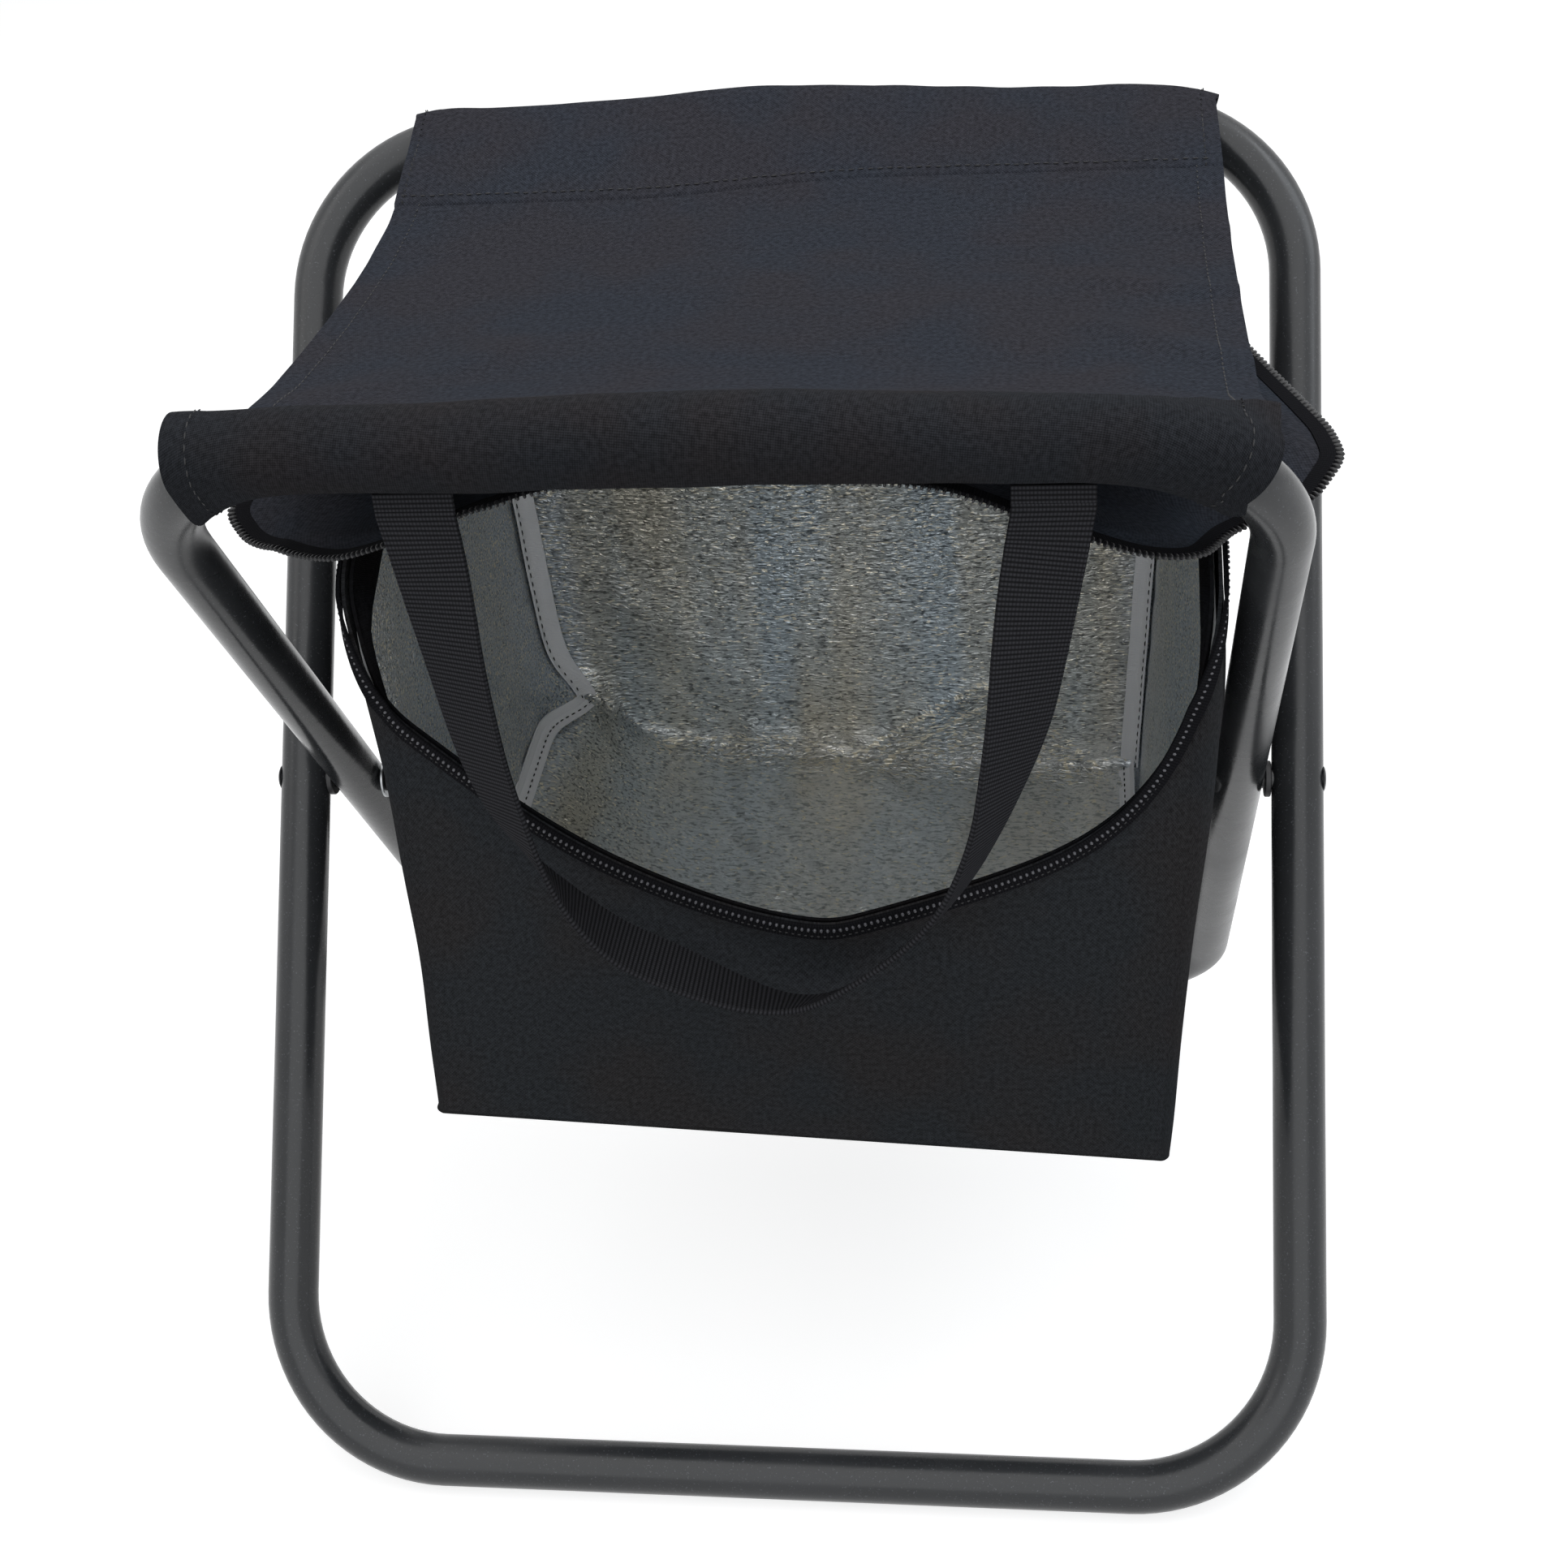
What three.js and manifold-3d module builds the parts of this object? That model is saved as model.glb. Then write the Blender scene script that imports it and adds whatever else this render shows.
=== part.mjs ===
// Folding cooler stool: two crossed steel loops riveted at the legs, a cloth seat between their
// top bars, a padded lid under the seat and an insulated bag that hangs open below it.
// Millimetres, +Z up, the front towards -Y. The origin is on the floor, under the rivets.
import * as THREE from 'three';
import { mergeVertices } from 'three/addons/utils/BufferGeometryUtils.js';
import Module from 'manifold-3d';

const wasm = await Module();
wasm.setup();

// Frame sizes
const tubeDiameter = 16;
const tubeWall = 1;
const outerFrameWidth = 320; // between the centre lines of its legs
const legGap = 2.5; // clear gap between an outer and an inner leg
const frameLength = 432; // between the centre lines of a frame's two bars
const pivotAlongLeg = 219; // from the bottom bar's centre line
const bendRadius = 52;
const leanDegrees = 53.7; // of each frame, from the floor
const buttGap = 0.6; // between the two ends of a bent tube
const spigotLength = 60;
const spigotWall = 1;

// Rivet sizes
const rivetDiameter = 6;
const rivetHeadDiameter = 10;
const rivetHeadHeight = 2.2;
const rivetTailDiameter = 9;
const rivetTailHeight = 1.6;
const tailWasherDiameter = 13;
const tailWasherThickness = 1;
const spacerDiameter = 14;

// Clearances
const clearance = 0.3; // between pieces that touch
const sleeveFit = 0.8; // between a bar and the cloth round it
const sleeveBendSlack = 1.2; // more of it at the ends, round the bends
const cutOverrun = 5;

// Seat sizes
const clothShift = 5; // the seat cloth sits this far to the right
const sleeveInset = 8.5; // from an inner leg's centre line to the sleeves' ends
const sleeveCloth = 1.2;
const seatInset = 6; // from the sleeves' ends to the seat cloth's sides
const seatCloth = 1.6;
const seatSag = 10.4;
const rearSeamReach = 42; // from the bar's centre line to the seam
const rearSeamDrop = 4;
const frontSeamReach = 17;
const frontSeamRise = 4;
const frontSeamDroop = 5; // at its two ends

// Lid sizes
const bagShift = 9; // the lid and the bag hang this far to the right
const lidEarReach = 8.5; // its ears reach this far past the inner legs' centre lines
const lidRear = 92; // from the middle of the stool to the lid's rear edge
const lidFront = 118;
const lidCloth = 1;
const lidFoam = 2.4;
const lidFoil = 0.6;
const lidCornerDroop = 28;
const lidEarDroop = 9;

// Bag sizes
const bagLegGap = 23.5; // from an inner leg's centre line to the bag's rim
const bagTaper = 8; // the floor's sides lie this far inside the rim's
const bagFloorFront = 100; // from the middle of the stool
const bagFloorRear = 100;
const bagRimFront = 94;
const bagRimRear = 88;
const bagRimBow = 20; // the front's rim bows out by this much in its middle
const bagCornerRadius = 8.5;
const bagHeight = 215; // from the floor's middle to the rear rim
const bagFloorRise = 10; // the floor's rear edge hangs higher than its front edge
const bagFloorTilt = 11; // its left edge hangs higher than its right edge
const bagWallBulge = 1;
const rimCornerDrop = 38; // down the sides, from the rear rim to the front corners
const rimFrontDrop = 92; // from the front corners to the lowest point
const bagCloth = 1;
const bagFoam = 3;
const bagFoil = 0.6;
const facingHeight = 11.5;
const facingCloth = 1;
const facingLap = 3.2; // between the facing's lower edge and the foam
const tapeReach = 8; // of the binding tape on each side of a floor seam
const tapeThickness = 1;

// Zip sizes
const zipHeight = 4;
const zipThickness = 1.8;
const sliderWidth = 7.5;
const sliderHeight = 10;
const sliderDepth = 5;
const bridgeReach = 4;
const bridgeHeight = 5.6;
const bridgeBar = 1.2;
const bridgeWidth = 2;
const pullWidth = 6.4;
const pullLength = 24;
const pullThickness = 1.4;
const pullRim = 1.6;
const pullEyeLength = 3.4;

// Handle sizes
const webbingWidth = 20;
const webbingThickness = 1.8;
const handleSpan = 153; // between the middles of its two ends
const handleDrop = 145; // from its hinge line to its lowest point
const handleReach = 4; // the loop's lowest point lies this far in front of its ends
const handleBehindBar = -1;
const handleEndLength = 6;

// Counts
const tubeSides = 16;
const bendSteps = 6;
const roundSides = 16;
const sleeveSides = 18;
const sleeveBendSteps = 5;
const frontSteps = 10;
const sideSteps = 4;
const rearSteps = 4;
const cornerSteps = 3;
const lidColumns = 12;

// Shares
const sleeveFollowShare = 0.75; // how far the sleeve's top follows the bar round its bend
const seatSagShares = [[0, 0], [0.1, 0.45], [0.25, 0.85], [0.5, 1], [0.75, 0.98], [0.88, 0.75], [1, 0]];
// Depth from the rear edge, with the half width there on the left and on the right
const lidOutlineShares = [
  [0, 0.77, 0.77], [0.15, 0.778, 0.78], [0.3, 0.786, 0.8], [0.44, 0.8, 0.82], [0.58, 0.83, 0.87],
  [0.65, 0.87, 0.985], [0.705, 0.92, 1], [0.77, 0.95, 0.93], [0.82, 0.9, 0.83], [0.85, 0.85, 0.78],
  [0.876, 0.8, 0.765], [0.933, 0.69, 0.73], [0.971, 0.54, 0.65], [1, 0.38, 0.48],
];
// Depth from the rear edge, with the share of the full droop there
const lidDroopShares = [[0, 0], [0.15, 0], [0.3, 0.22], [0.53, 0.5], [0.7, 0.62], [0.84, 1], [1, 1]];
const lidDroopStartShare = 0.27;
const lidDroopFullShare = 0.83;
const bagLevelShares = [0, 0.12, 0.35, 0.6, 0.82, 1];
const rimLowShare = 0.16; // where the front is lowest, from its middle to its right end
const rimCornerShareLeft = 0.44; // of the front's drop, at the corner's front end
const rimCornerShareRight = 0.52;
const rimPowerLeft = 1.38;
const rimPowerRight = 2.6;
const rimSidePower = 1.2;
const tapeLevelShares = [0, 0.33, 0.66, 1];
// Across the span and down the drop, from the left end to the right end, with the share of a
// quarter turn that the webbing has twisted by there
const handleShares = [
  [-1, 0, 0], [-0.98, 0.08, 0.08], [-0.95, 0.27, 0.36], [-0.91, 0.45, 0.55], [-0.86, 0.57, 0.66],
  [-0.77, 0.69, 0.82], [-0.67, 0.77, 0.92], [-0.52, 0.86, 0.98], [-0.33, 0.91, 1], [-0.11, 0.97, 0.88],
  [0.08, 1, 0.7], [0.2, 0.99, 0.66], [0.37, 0.92, 0.7], [0.5, 0.86, 0.74], [0.6, 0.8, 0.78],
  [0.69, 0.73, 0.76], [0.8, 0.59, 0.68], [0.89, 0.4, 0.4], [0.95, 0.16, 0.12], [1, 0, 0],
];

// Derived sizes
const lean = THREE.MathUtils.degToRad(leanDegrees);
const tubeRadius = tubeDiameter / 2;
const innerFrameWidth = outerFrameWidth - 2 * (tubeDiameter + legGap);
const sleeveWidth = innerFrameWidth - 2 * sleeveInset;
const seatWidth = sleeveWidth - 2 * seatInset;
const lidWidth = innerFrameWidth + 2 * lidEarReach;
const bagRimWidth = innerFrameWidth - 2 * bagLegGap;
const bagFloorWidth = bagRimWidth - 2 * bagTaper;
const topAlongLeg = frameLength - pivotAlongLeg;
const pivotHeight = tubeRadius + pivotAlongLeg * Math.sin(lean);
const barReach = topAlongLeg * Math.cos(lean);
const barHeight = pivotHeight + topAlongLeg * Math.sin(lean);
const outerFace = outerFrameWidth / 2 + tubeRadius;
const innerFace = innerFrameWidth / 2 - tubeRadius;
const sleeveTail = sleeveCloth + clearance;
const sleeveOut = tubeRadius / Math.cos(Math.PI / tubeSides) + sleeveFit + sleeveCloth;
const rearSeam = { y: barReach - rearSeamReach, z: barHeight - rearSeamDrop };
const frontSeam = { y: frontSeamReach - barReach, z: barHeight + frontSeamRise };

// Materials
const steelPaint = new THREE.MeshStandardMaterial({ color: 0x17181b, roughness: 0.2, metalness: 0.3 });
const plainSteel = new THREE.MeshStandardMaterial({ color: 0x9a9c9e, roughness: 0.35, metalness: 1 });
const blackNylon = new THREE.MeshStandardMaterial({ color: 0x1a1a1c, roughness: 0.5, metalness: 0 });
const seatFabric = new THREE.MeshStandardMaterial({ color: 0x2b2e35, roughness: 0.85, metalness: 0 });
const bagFabric = new THREE.MeshStandardMaterial({ color: 0x222327, roughness: 0.9, metalness: 0 });
const webbing = new THREE.MeshStandardMaterial({ color: 0x1c1c1e, roughness: 0.8, metalness: 0 });
const foam = new THREE.MeshStandardMaterial({ color: 0xd9dadb, roughness: 0.95, metalness: 0 });
const foil = new THREE.MeshStandardMaterial({ color: 0x9a9f9f, roughness: 0.3, metalness: 0.8 });
const greyTape = new THREE.MeshStandardMaterial({ color: 0x85868c, roughness: 0.8, metalness: 0 });
const zipBlack = new THREE.MeshStandardMaterial({ color: 0x141416, roughness: 0.45, metalness: 0.1 });

const point = (x, y, z) => new THREE.Vector3(x, y, z);
const mix = THREE.MathUtils.lerp;
const smooth = (value, low, high) => THREE.MathUtils.smoothstep(value, low, high);

function mesh(name, geometry, material) {
  const made = new THREE.Mesh(geometry, material);
  made.name = name;
  return made;
}

// Reads a table of [place, value] rows by straight lines between its rows.
function readTable(table, place, column = 1) {
  let row = 1;
  while (row < table.length - 1 && table[row][0] < place) row += 1;
  const [before, after] = [table[row - 1], table[row]];
  const share = THREE.MathUtils.clamp((place - before[0]) / (after[0] - before[0]), 0, 1);
  return mix(before[column], after[column], share);
}

// A closed skin from its corners and triangles, turned so that its faces point out.
function skin(corners, triangles) {
  let volume = 0;
  for (const [a, b, c] of triangles) {
    volume += corners[a].dot(corners[b].clone().cross(corners[c]));
  }
  const faces = volume < 0 ? triangles.map(([a, b, c]) => [a, c, b]) : triangles;
  const geometry = new THREE.BufferGeometry().setFromPoints(corners);
  geometry.setIndex(faces.flat());
  geometry.computeVertexNormals();
  return geometry;
}

// Joins rings of equal count, each four-sided patch split along its shorter diagonal so that
// nested skins bend alike. The last ring meets the first where it is closed. Otherwise the
// ends are filled: round rings by a fan, and flat ones, whose two halves run side by side, by
// a strip between the halves.
function loft(rings, { closed = false, flatEnds = false } = {}) {
  const count = rings[0].length;
  const corners = rings.flat();
  const triangles = [];
  const spans = closed ? rings.length : rings.length - 1;
  for (let i = 0; i < spans; i += 1) {
    const here = i * count;
    const next = ((i + 1) % rings.length) * count;
    for (let j = 0; j < count; j += 1) {
      const k = (j + 1) % count;
      const [a, b, c, d] = [here + j, here + k, next + k, next + j];
      if (corners[a].distanceTo(corners[c]) < corners[b].distanceTo(corners[d])) {
        triangles.push([a, b, c], [a, c, d]);
      } else {
        triangles.push([a, b, d], [b, c, d]);
      }
    }
  }
  const fill = (start, flip) => {
    const add = (a, b, c) => triangles.push(flip ? [a, c, b] : [a, b, c]);
    if (flatEnds) {
      for (let j = 0; j < count / 2 - 1; j += 1) {
        const [a, b, c, d] = [j, j + 1, count - 2 - j, count - 1 - j].map((n) => start + n);
        add(a, c, b);
        add(a, d, c);
      }
      return;
    }
    const middle = point(0, 0, 0);
    for (let j = 0; j < count; j += 1) middle.add(corners[start + j]);
    corners.push(middle.divideScalar(count));
    for (let j = 0; j < count; j += 1) add(corners.length - 1, start + ((j + 1) % count), start + j);
  };
  if (!closed) {
    fill(0, false);
    fill((rings.length - 1) * count, true);
  }
  return skin(corners, triangles);
}

// A wall between outer and inner rings that stays open at both ends.
function openTube(outerRings, innerRings) {
  const columns = outerRings[0].map((_, j) => [
    ...outerRings.map((ring) => ring[j]),
    ...innerRings.map((ring) => ring[j]).reverse(),
  ]);
  return loft(columns, { closed: true });
}

// A sheet between two grids of equal rows and columns.
function sheet(upper, lower) {
  return loft(upper.map((row, i) => [...row, ...[...lower[i]].reverse()]), { flatEnds: true });
}

function toManifold(geometry) {
  const bare = geometry.clone();
  bare.deleteAttribute('normal');
  bare.deleteAttribute('uv');
  const merged = mergeVertices(bare);
  return new wasm.Manifold(new wasm.Mesh({
    numProp: 3,
    vertProperties: new Float32Array(merged.attributes.position.array),
    triVerts: new Uint32Array(merged.index.array),
  }));
}

function fromManifold(solid) {
  const data = solid.getMesh();
  const geometry = new THREE.BufferGeometry();
  geometry.setAttribute('position', new THREE.BufferAttribute(data.vertProperties, 3));
  geometry.setIndex(new THREE.BufferAttribute(data.triVerts, 1));
  geometry.computeVertexNormals();
  return geometry;
}

// A turned shape round the X axis, from [radius, place along X] points.
function turned(profile) {
  const points = profile.map(([radius, along]) => new THREE.Vector2(radius, along));
  const geometry = new THREE.LatheGeometry(points, roundSides).rotateZ(-Math.PI / 2);
  const merged = toManifold(geometry);
  return fromManifold(merged);
}

function ring(outerRadius, innerRadius, from, to) {
  return turned([
    [innerRadius, from], [outerRadius, from], [outerRadius, to], [innerRadius, to], [innerRadius, from],
  ]);
}

// Frame: a tube bent to a closed loop in its own plane, with X across, Y up along the legs
// from the rivets, and Z square to the loop.
function loopStations(width) {
  const side = width / 2 - bendRadius;
  const top = topAlongLeg - bendRadius;
  const bottom = bendRadius - pivotAlongLeg;
  const bends = [[side, top, 90], [side, bottom, 0], [-side, bottom, -90], [-side, top, -180]];
  const stations = [{ x: buttGap / 2, y: topAlongLeg, turn: Math.PI / 2 }];
  for (const [x, y, startDegrees] of bends) {
    for (let step = 0; step <= bendSteps; step += 1) {
      const turn = THREE.MathUtils.degToRad(startDegrees - (90 * step) / bendSteps);
      stations.push({ x: x + bendRadius * Math.cos(turn), y: y + bendRadius * Math.sin(turn), turn });
    }
  }
  stations.push({ x: -buttGap / 2, y: topAlongLeg, turn: Math.PI / 2 });
  return stations;
}

// One facet of the tube faces the floor, so that the bottom bar rests on a flat.
function loopRings(width, radius, downTurn) {
  const corner = radius / Math.cos(Math.PI / tubeSides);
  return loopStations(width).map(({ x, y, turn }) => {
    const points = [];
    for (let side = 0; side < tubeSides; side += 1) {
      const angle = downTurn + ((side + 0.5) * 2 * Math.PI) / tubeSides;
      const out = corner * Math.cos(angle);
      points.push(point(x + out * Math.cos(turn), y + out * Math.sin(turn), corner * Math.sin(angle)));
    }
    return points;
  });
}

function frameLoop(width, downTurn) {
  const tube = openTube(
    loopRings(width, tubeRadius, downTurn),
    loopRings(width, tubeRadius - tubeWall, downTurn),
  );
  const holeRadius = rivetDiameter / 2 + clearance;
  const holeLength = width + tubeDiameter + cutOverrun;
  const hole = new THREE.CylinderGeometry(holeRadius, holeRadius, holeLength, roundSides);
  hole.rotateZ(Math.PI / 2);
  return fromManifold(toManifold(tube).subtract(toManifold(hole)));
}

// A short tube inside the top bar that holds the bent tube's two ends together.
function spigot() {
  const radius = tubeRadius - tubeWall - clearance;
  const geometry = ring(radius, radius - spigotWall, -spigotLength / 2, spigotLength / 2);
  return geometry.translate(0, topAlongLeg, 0);
}

// Rivets: head outside the outer leg, tail formed over a washer inside the inner leg.
function rivet(side) {
  const shank = rivetDiameter / 2;
  const head = rivetHeadDiameter / 2;
  const tail = rivetTailDiameter / 2;
  const headBase = outerFace + clearance;
  const headTop = headBase + rivetHeadHeight;
  const tailBase = innerFace - tailWasherThickness - 2 * clearance;
  const tailEnd = tailBase - rivetTailHeight;
  const geometry = turned([
    [0, tailEnd], [tail * 0.7, tailEnd], [tail, mix(tailEnd, tailBase, 0.5)], [tail, tailBase],
    [shank, tailBase], [shank, headBase], [head, headBase], [head * 0.92, mix(headBase, headTop, 0.5)],
    [head * 0.6, mix(headBase, headTop, 0.9)], [0, headTop],
  ]);
  return side < 0 ? geometry.rotateY(Math.PI) : geometry;
}

function spacer(side) {
  const from = innerFrameWidth / 2 + tubeRadius + clearance;
  const to = outerFrameWidth / 2 - tubeRadius - clearance;
  const geometry = ring(spacerDiameter / 2, rivetDiameter / 2 + clearance, from, to);
  return side < 0 ? geometry.rotateY(Math.PI) : geometry;
}

function tailWasher(side) {
  const to = innerFace - clearance;
  const from = to - tailWasherThickness;
  const geometry = ring(tailWasherDiameter / 2, rivetDiameter / 2 + clearance, from, to);
  return side < 0 ? geometry.rotateY(Math.PI) : geometry;
}

// Sleeve: cloth round a top bar and into its bends, drawn to a seam behind it. Each station
// has the bar's centre line there and its turn round the bend, and the seam's own place.
function sleeveStations(width) {
  const straight = width / 2 - bendRadius;
  const half = sleeveWidth / 2;
  const stations = [];
  const bend = (side) => {
    const end = half + side * clothShift;
    const turn = Math.asin((end - straight) / (bendRadius + sleeveOut));
    for (let step = sleeveBendSteps; step > 0; step -= 1) {
      const angle = (turn * step) / sleeveBendSteps;
      stations.push({
        side,
        angle,
        x: side * (straight + bendRadius * Math.sin(angle)),
        seamX: side * mix(straight, end, step / sleeveBendSteps),
        drop: bendRadius * (1 - Math.cos(angle)),
        slack: (sleeveBendSlack * step) / sleeveBendSteps,
      });
    }
  };
  bend(-1);
  for (const share of [-1, -0.5, 0, 0.5, 1]) {
    const x = share * straight;
    stations.push({ side: 1, angle: 0, x, seamX: x, drop: 0, slack: 0 });
  }
  const middle = stations.length;
  bend(1);
  return [...stations.slice(0, middle), ...stations.slice(middle).reverse()];
}

function sleeveRing({ side, angle, x, seamX, drop, slack }, seam, offset) {
  const radius = sleeveOut - sleeveCloth + slack + offset;
  const seamRadius = clearance + offset;
  const seamPlace = seam(seamX);
  const rounds = [
    { y: topAlongLeg - drop, z: 0, high: radius * Math.cos(angle), wide: radius, x },
    { y: topAlongLeg - drop * sleeveFollowShare, z: 0, high: radius * Math.cos(angle), wide: radius, x },
    { ...seamPlace, high: seamRadius, wide: seamRadius, x: seamX },
  ];
  const points = [];
  for (let place = 0; place < sleeveSides; place += 1) {
    const turn = (place * 2 * Math.PI) / sleeveSides;
    const [c, s] = [Math.cos(turn), Math.sin(turn)];
    let best = null;
    for (const round of rounds) {
      const length = Math.hypot(round.high * c, round.wide * s);
      const y = round.y + (round.high ** 2 * c) / length;
      const z = round.z + (round.wide ** 2 * s) / length;
      const out = round.x === seamX ? 0 : (side * Math.sin(angle) * radius * round.high * c) / length;
      if (!best || y * c + z * s > best.reach) best = { y, z, x: round.x + out, reach: y * c + z * s };
    }
    points.push(point(best.x, best.y, best.z));
  }
  return points;
}

function sleeve(width, seam) {
  const rings = (offset) => sleeveStations(width).map((station) => sleeveRing(station, seam, offset));
  return openTube(rings(sleeveCloth), rings(0));
}

// Turns a place in the world into a frame's own plane.
function inPlane({ y, z }, facing) {
  const rise = z - pivotHeight;
  return {
    y: y * facing * Math.cos(lean) + rise * Math.sin(lean),
    z: (rise * Math.cos(lean) - y * facing * Math.sin(lean)) * facing,
  };
}

// Seat: a cloth that sags between the two seams. The front seam droops towards its ends.
function frontDroop(x) {
  return frontSeamDroop * ((x - clothShift) / (sleeveWidth / 2)) ** 2;
}

function seatHeight(x, y) {
  const share = (rearSeam.y - y) / (rearSeam.y - frontSeam.y);
  const seams = mix(rearSeam.z, frontSeam.z - frontDroop(x), share);
  return seams - seatSag * readTable(seatSagShares, share);
}

function seatPanel() {
  const rear = rearSeam.y - sleeveTail - clearance;
  const front = frontSeam.y + sleeveTail + 4 * clearance;
  const rows = (offset) => seatSagShares.map(([share]) => {
    const y = mix(rear, front, share);
    return [-0.5, -0.3, 0, 0.3, 0.5].map((side) => {
      const x = clothShift + side * seatWidth;
      return point(x, y, seatHeight(x, y) + offset);
    });
  });
  return sheet(rows(seatCloth / 2), rows(-seatCloth / 2));
}

// Lid: flat under the seat, with front corners that droop and stand out past the seat's sides.
function lidDroop(across, y) {
  const half = lidWidth / 2;
  const side = smooth(Math.abs(across) / half, lidDroopStartShare, lidDroopFullShare);
  const forward = readTable(lidDroopShares, (lidRear - y) / (lidRear + lidFront));
  const ear = Math.max(Math.abs(across) / half - lidDroopFullShare, 0) / (1 - lidDroopFullShare);
  return (lidCornerDroop * side + lidEarDroop * ear) * forward;
}

// The seat cloth lies on the lid where it sags lowest.
const lidTop = Math.min(...seatSagShares.flatMap(([share]) => (
  [-0.5, -0.3, 0, 0.3, 0.5].map((side) => {
    const x = clothShift + side * seatWidth;
    const y = mix(rearSeam.y, frontSeam.y, share);
    return seatHeight(x, y) + lidDroop(x - bagShift, y);
  })
))) - seatCloth / 2 - 2 * clearance;

function lidHeight(across, y) {
  return lidTop - lidDroop(across, y);
}

function lidLayer(depth, thickness) {
  const rows = (below) => lidOutlineShares.map(([share, leftShare, rightShare]) => {
    const y = mix(lidRear, -lidFront, share);
    const points = [];
    for (let column = 0; column <= lidColumns; column += 1) {
      const side = (2 * column) / lidColumns - 1;
      const across = side * (side < 0 ? leftShare : rightShare) * (lidWidth / 2);
      points.push(point(bagShift + across, y, lidHeight(across, y) - below));
    }
    return points;
  });
  return sheet(rows(depth), rows(depth + thickness));
}

const lidFoamDepth = lidCloth + clearance;
const lidFoilDepth = lidFoamDepth + lidFoam + clearance;
const lidThickness = lidFoilDepth + lidFoil;

// Bag: each place on its wall has an index round the outline, a level from the floor's edge (0)
// to the rim (1) and an inset from the cloth's outer face.
const outline = [];
for (let i = 0; i < frontSteps; i += 1) outline.push({ part: 'front', share: i / frontSteps });
for (let i = 0; i < cornerSteps; i += 1) outline.push({ part: 'frontRight', share: i / cornerSteps });
for (let i = 0; i < sideSteps; i += 1) outline.push({ part: 'right', share: i / sideSteps });
for (let i = 0; i < cornerSteps; i += 1) outline.push({ part: 'rearRight', share: i / cornerSteps });
for (let i = 0; i < rearSteps; i += 1) outline.push({ part: 'rear', share: i / rearSteps });
for (let i = 0; i < cornerSteps; i += 1) outline.push({ part: 'rearLeft', share: i / cornerSteps });
for (let i = 0; i < sideSteps; i += 1) outline.push({ part: 'left', share: i / sideSteps });
for (let i = 0; i < cornerSteps; i += 1) outline.push({ part: 'frontLeft', share: i / cornerSteps });

const firstOf = (part) => outline.findIndex((place) => place.part === part);

function planPlace({ part, share }, level, inset) {
  const bulge = bagWallBulge * Math.sin(Math.PI * level);
  const half = mix(bagFloorWidth, bagRimWidth, level) / 2 + bulge - inset;
  const front = -mix(bagFloorFront, bagRimFront, level) - bulge + inset;
  const rear = mix(bagFloorRear, bagRimRear, level) + bulge - inset;
  const radius = bagCornerRadius - inset;
  const [x, low, high] = [half - radius, front + radius, rear - radius];
  const arc = (centreX, centreY, startDegrees) => {
    const angle = THREE.MathUtils.degToRad(startDegrees + 90 * share);
    return { x: centreX + radius * Math.cos(angle), y: centreY + radius * Math.sin(angle) };
  };
  const bow = bagRimBow * level * (1 - (2 * share - 1) ** 2);
  return {
    front: () => ({ x: mix(-x, x, share), y: front - bow }),
    frontRight: () => arc(x, low, -90),
    right: () => ({ x: half, y: mix(low, high, share) }),
    rearRight: () => arc(x, high, 0),
    rear: () => ({ x: mix(x, -x, share), y: rear }),
    rearLeft: () => arc(-x, high, 90),
    left: () => ({ x: -half, y: mix(high, low, share) }),
    frontLeft: () => arc(-x, low, 180),
  }[part]();
}

const lidUnder = lidTop - lidThickness;
const rimRearHeight = lidUnder - clearance;

function rimHeight({ part, share }) {
  const sideDrop = { right: 1 - share, left: share }[part];
  if (sideDrop !== undefined) return rimRearHeight - rimCornerDrop * sideDrop ** rimSidePower;
  if (part.startsWith('rear')) return rimRearHeight;
  const frontDrop = {
    frontLeft: () => mix(0, rimCornerShareLeft, share),
    frontRight: () => mix(rimCornerShareRight, 0, share),
    front: () => {
      const place = 2 * share - 1;
      const onLeft = place < rimLowShare;
      const reach = (place - rimLowShare) / ((onLeft ? -1 : 1) - rimLowShare);
      const rise = reach ** (onLeft ? rimPowerLeft : rimPowerRight);
      return 1 - (1 - (onLeft ? rimCornerShareLeft : rimCornerShareRight)) * rise;
    },
  }[part]();
  return rimRearHeight - rimCornerDrop - rimFrontDrop * frontDrop;
}

function floorHeight({ x, y }) {
  const rise = (y / (bagFloorFront + bagFloorRear)) * bagFloorRise;
  return rimRearHeight - bagHeight + rise - (x / bagFloorWidth) * bagFloorTilt;
}

function wallPoint(index, level, inset, { lift = 0, cut = 0 } = {}) {
  const place = outline[(index + outline.length) % outline.length];
  const floorPlace = planPlace(place, 0, inset);
  const low = floorHeight(floorPlace) + lift;
  const high = rimHeight(place) - cut;
  const z = mix(low, high, level);
  const fullLow = floorHeight(floorPlace);
  const trueLevel = (z - fullLow) / (rimHeight(place) - fullLow);
  const { x, y } = planPlace(place, trueLevel, inset);
  return point(bagShift + x, y, z);
}

function bagShell(inset, thickness, cut) {
  const rings = (depth) => bagLevelShares.map((level) => (
    outline.map((_, index) => wallPoint(index, level, depth, { lift: depth, cut }))
  ));
  return loft([...rings(inset), ...rings(inset + thickness).reverse()]);
}

const foamInset = bagCloth + clearance;
const foilInset = foamInset + bagFoam + clearance;
const lining = foilInset + bagFoil;

// A band inside the rim, where the foil and foam stop short of the zip.
function rimFacing() {
  const rings = (inset) => [facingHeight, 0].map((below) => (
    outline.map((_, index) => wallPoint(index, 1, inset, { cut: below }))
  ));
  return openTube(rings(foamInset), rings(foamInset + facingCloth));
}

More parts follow.
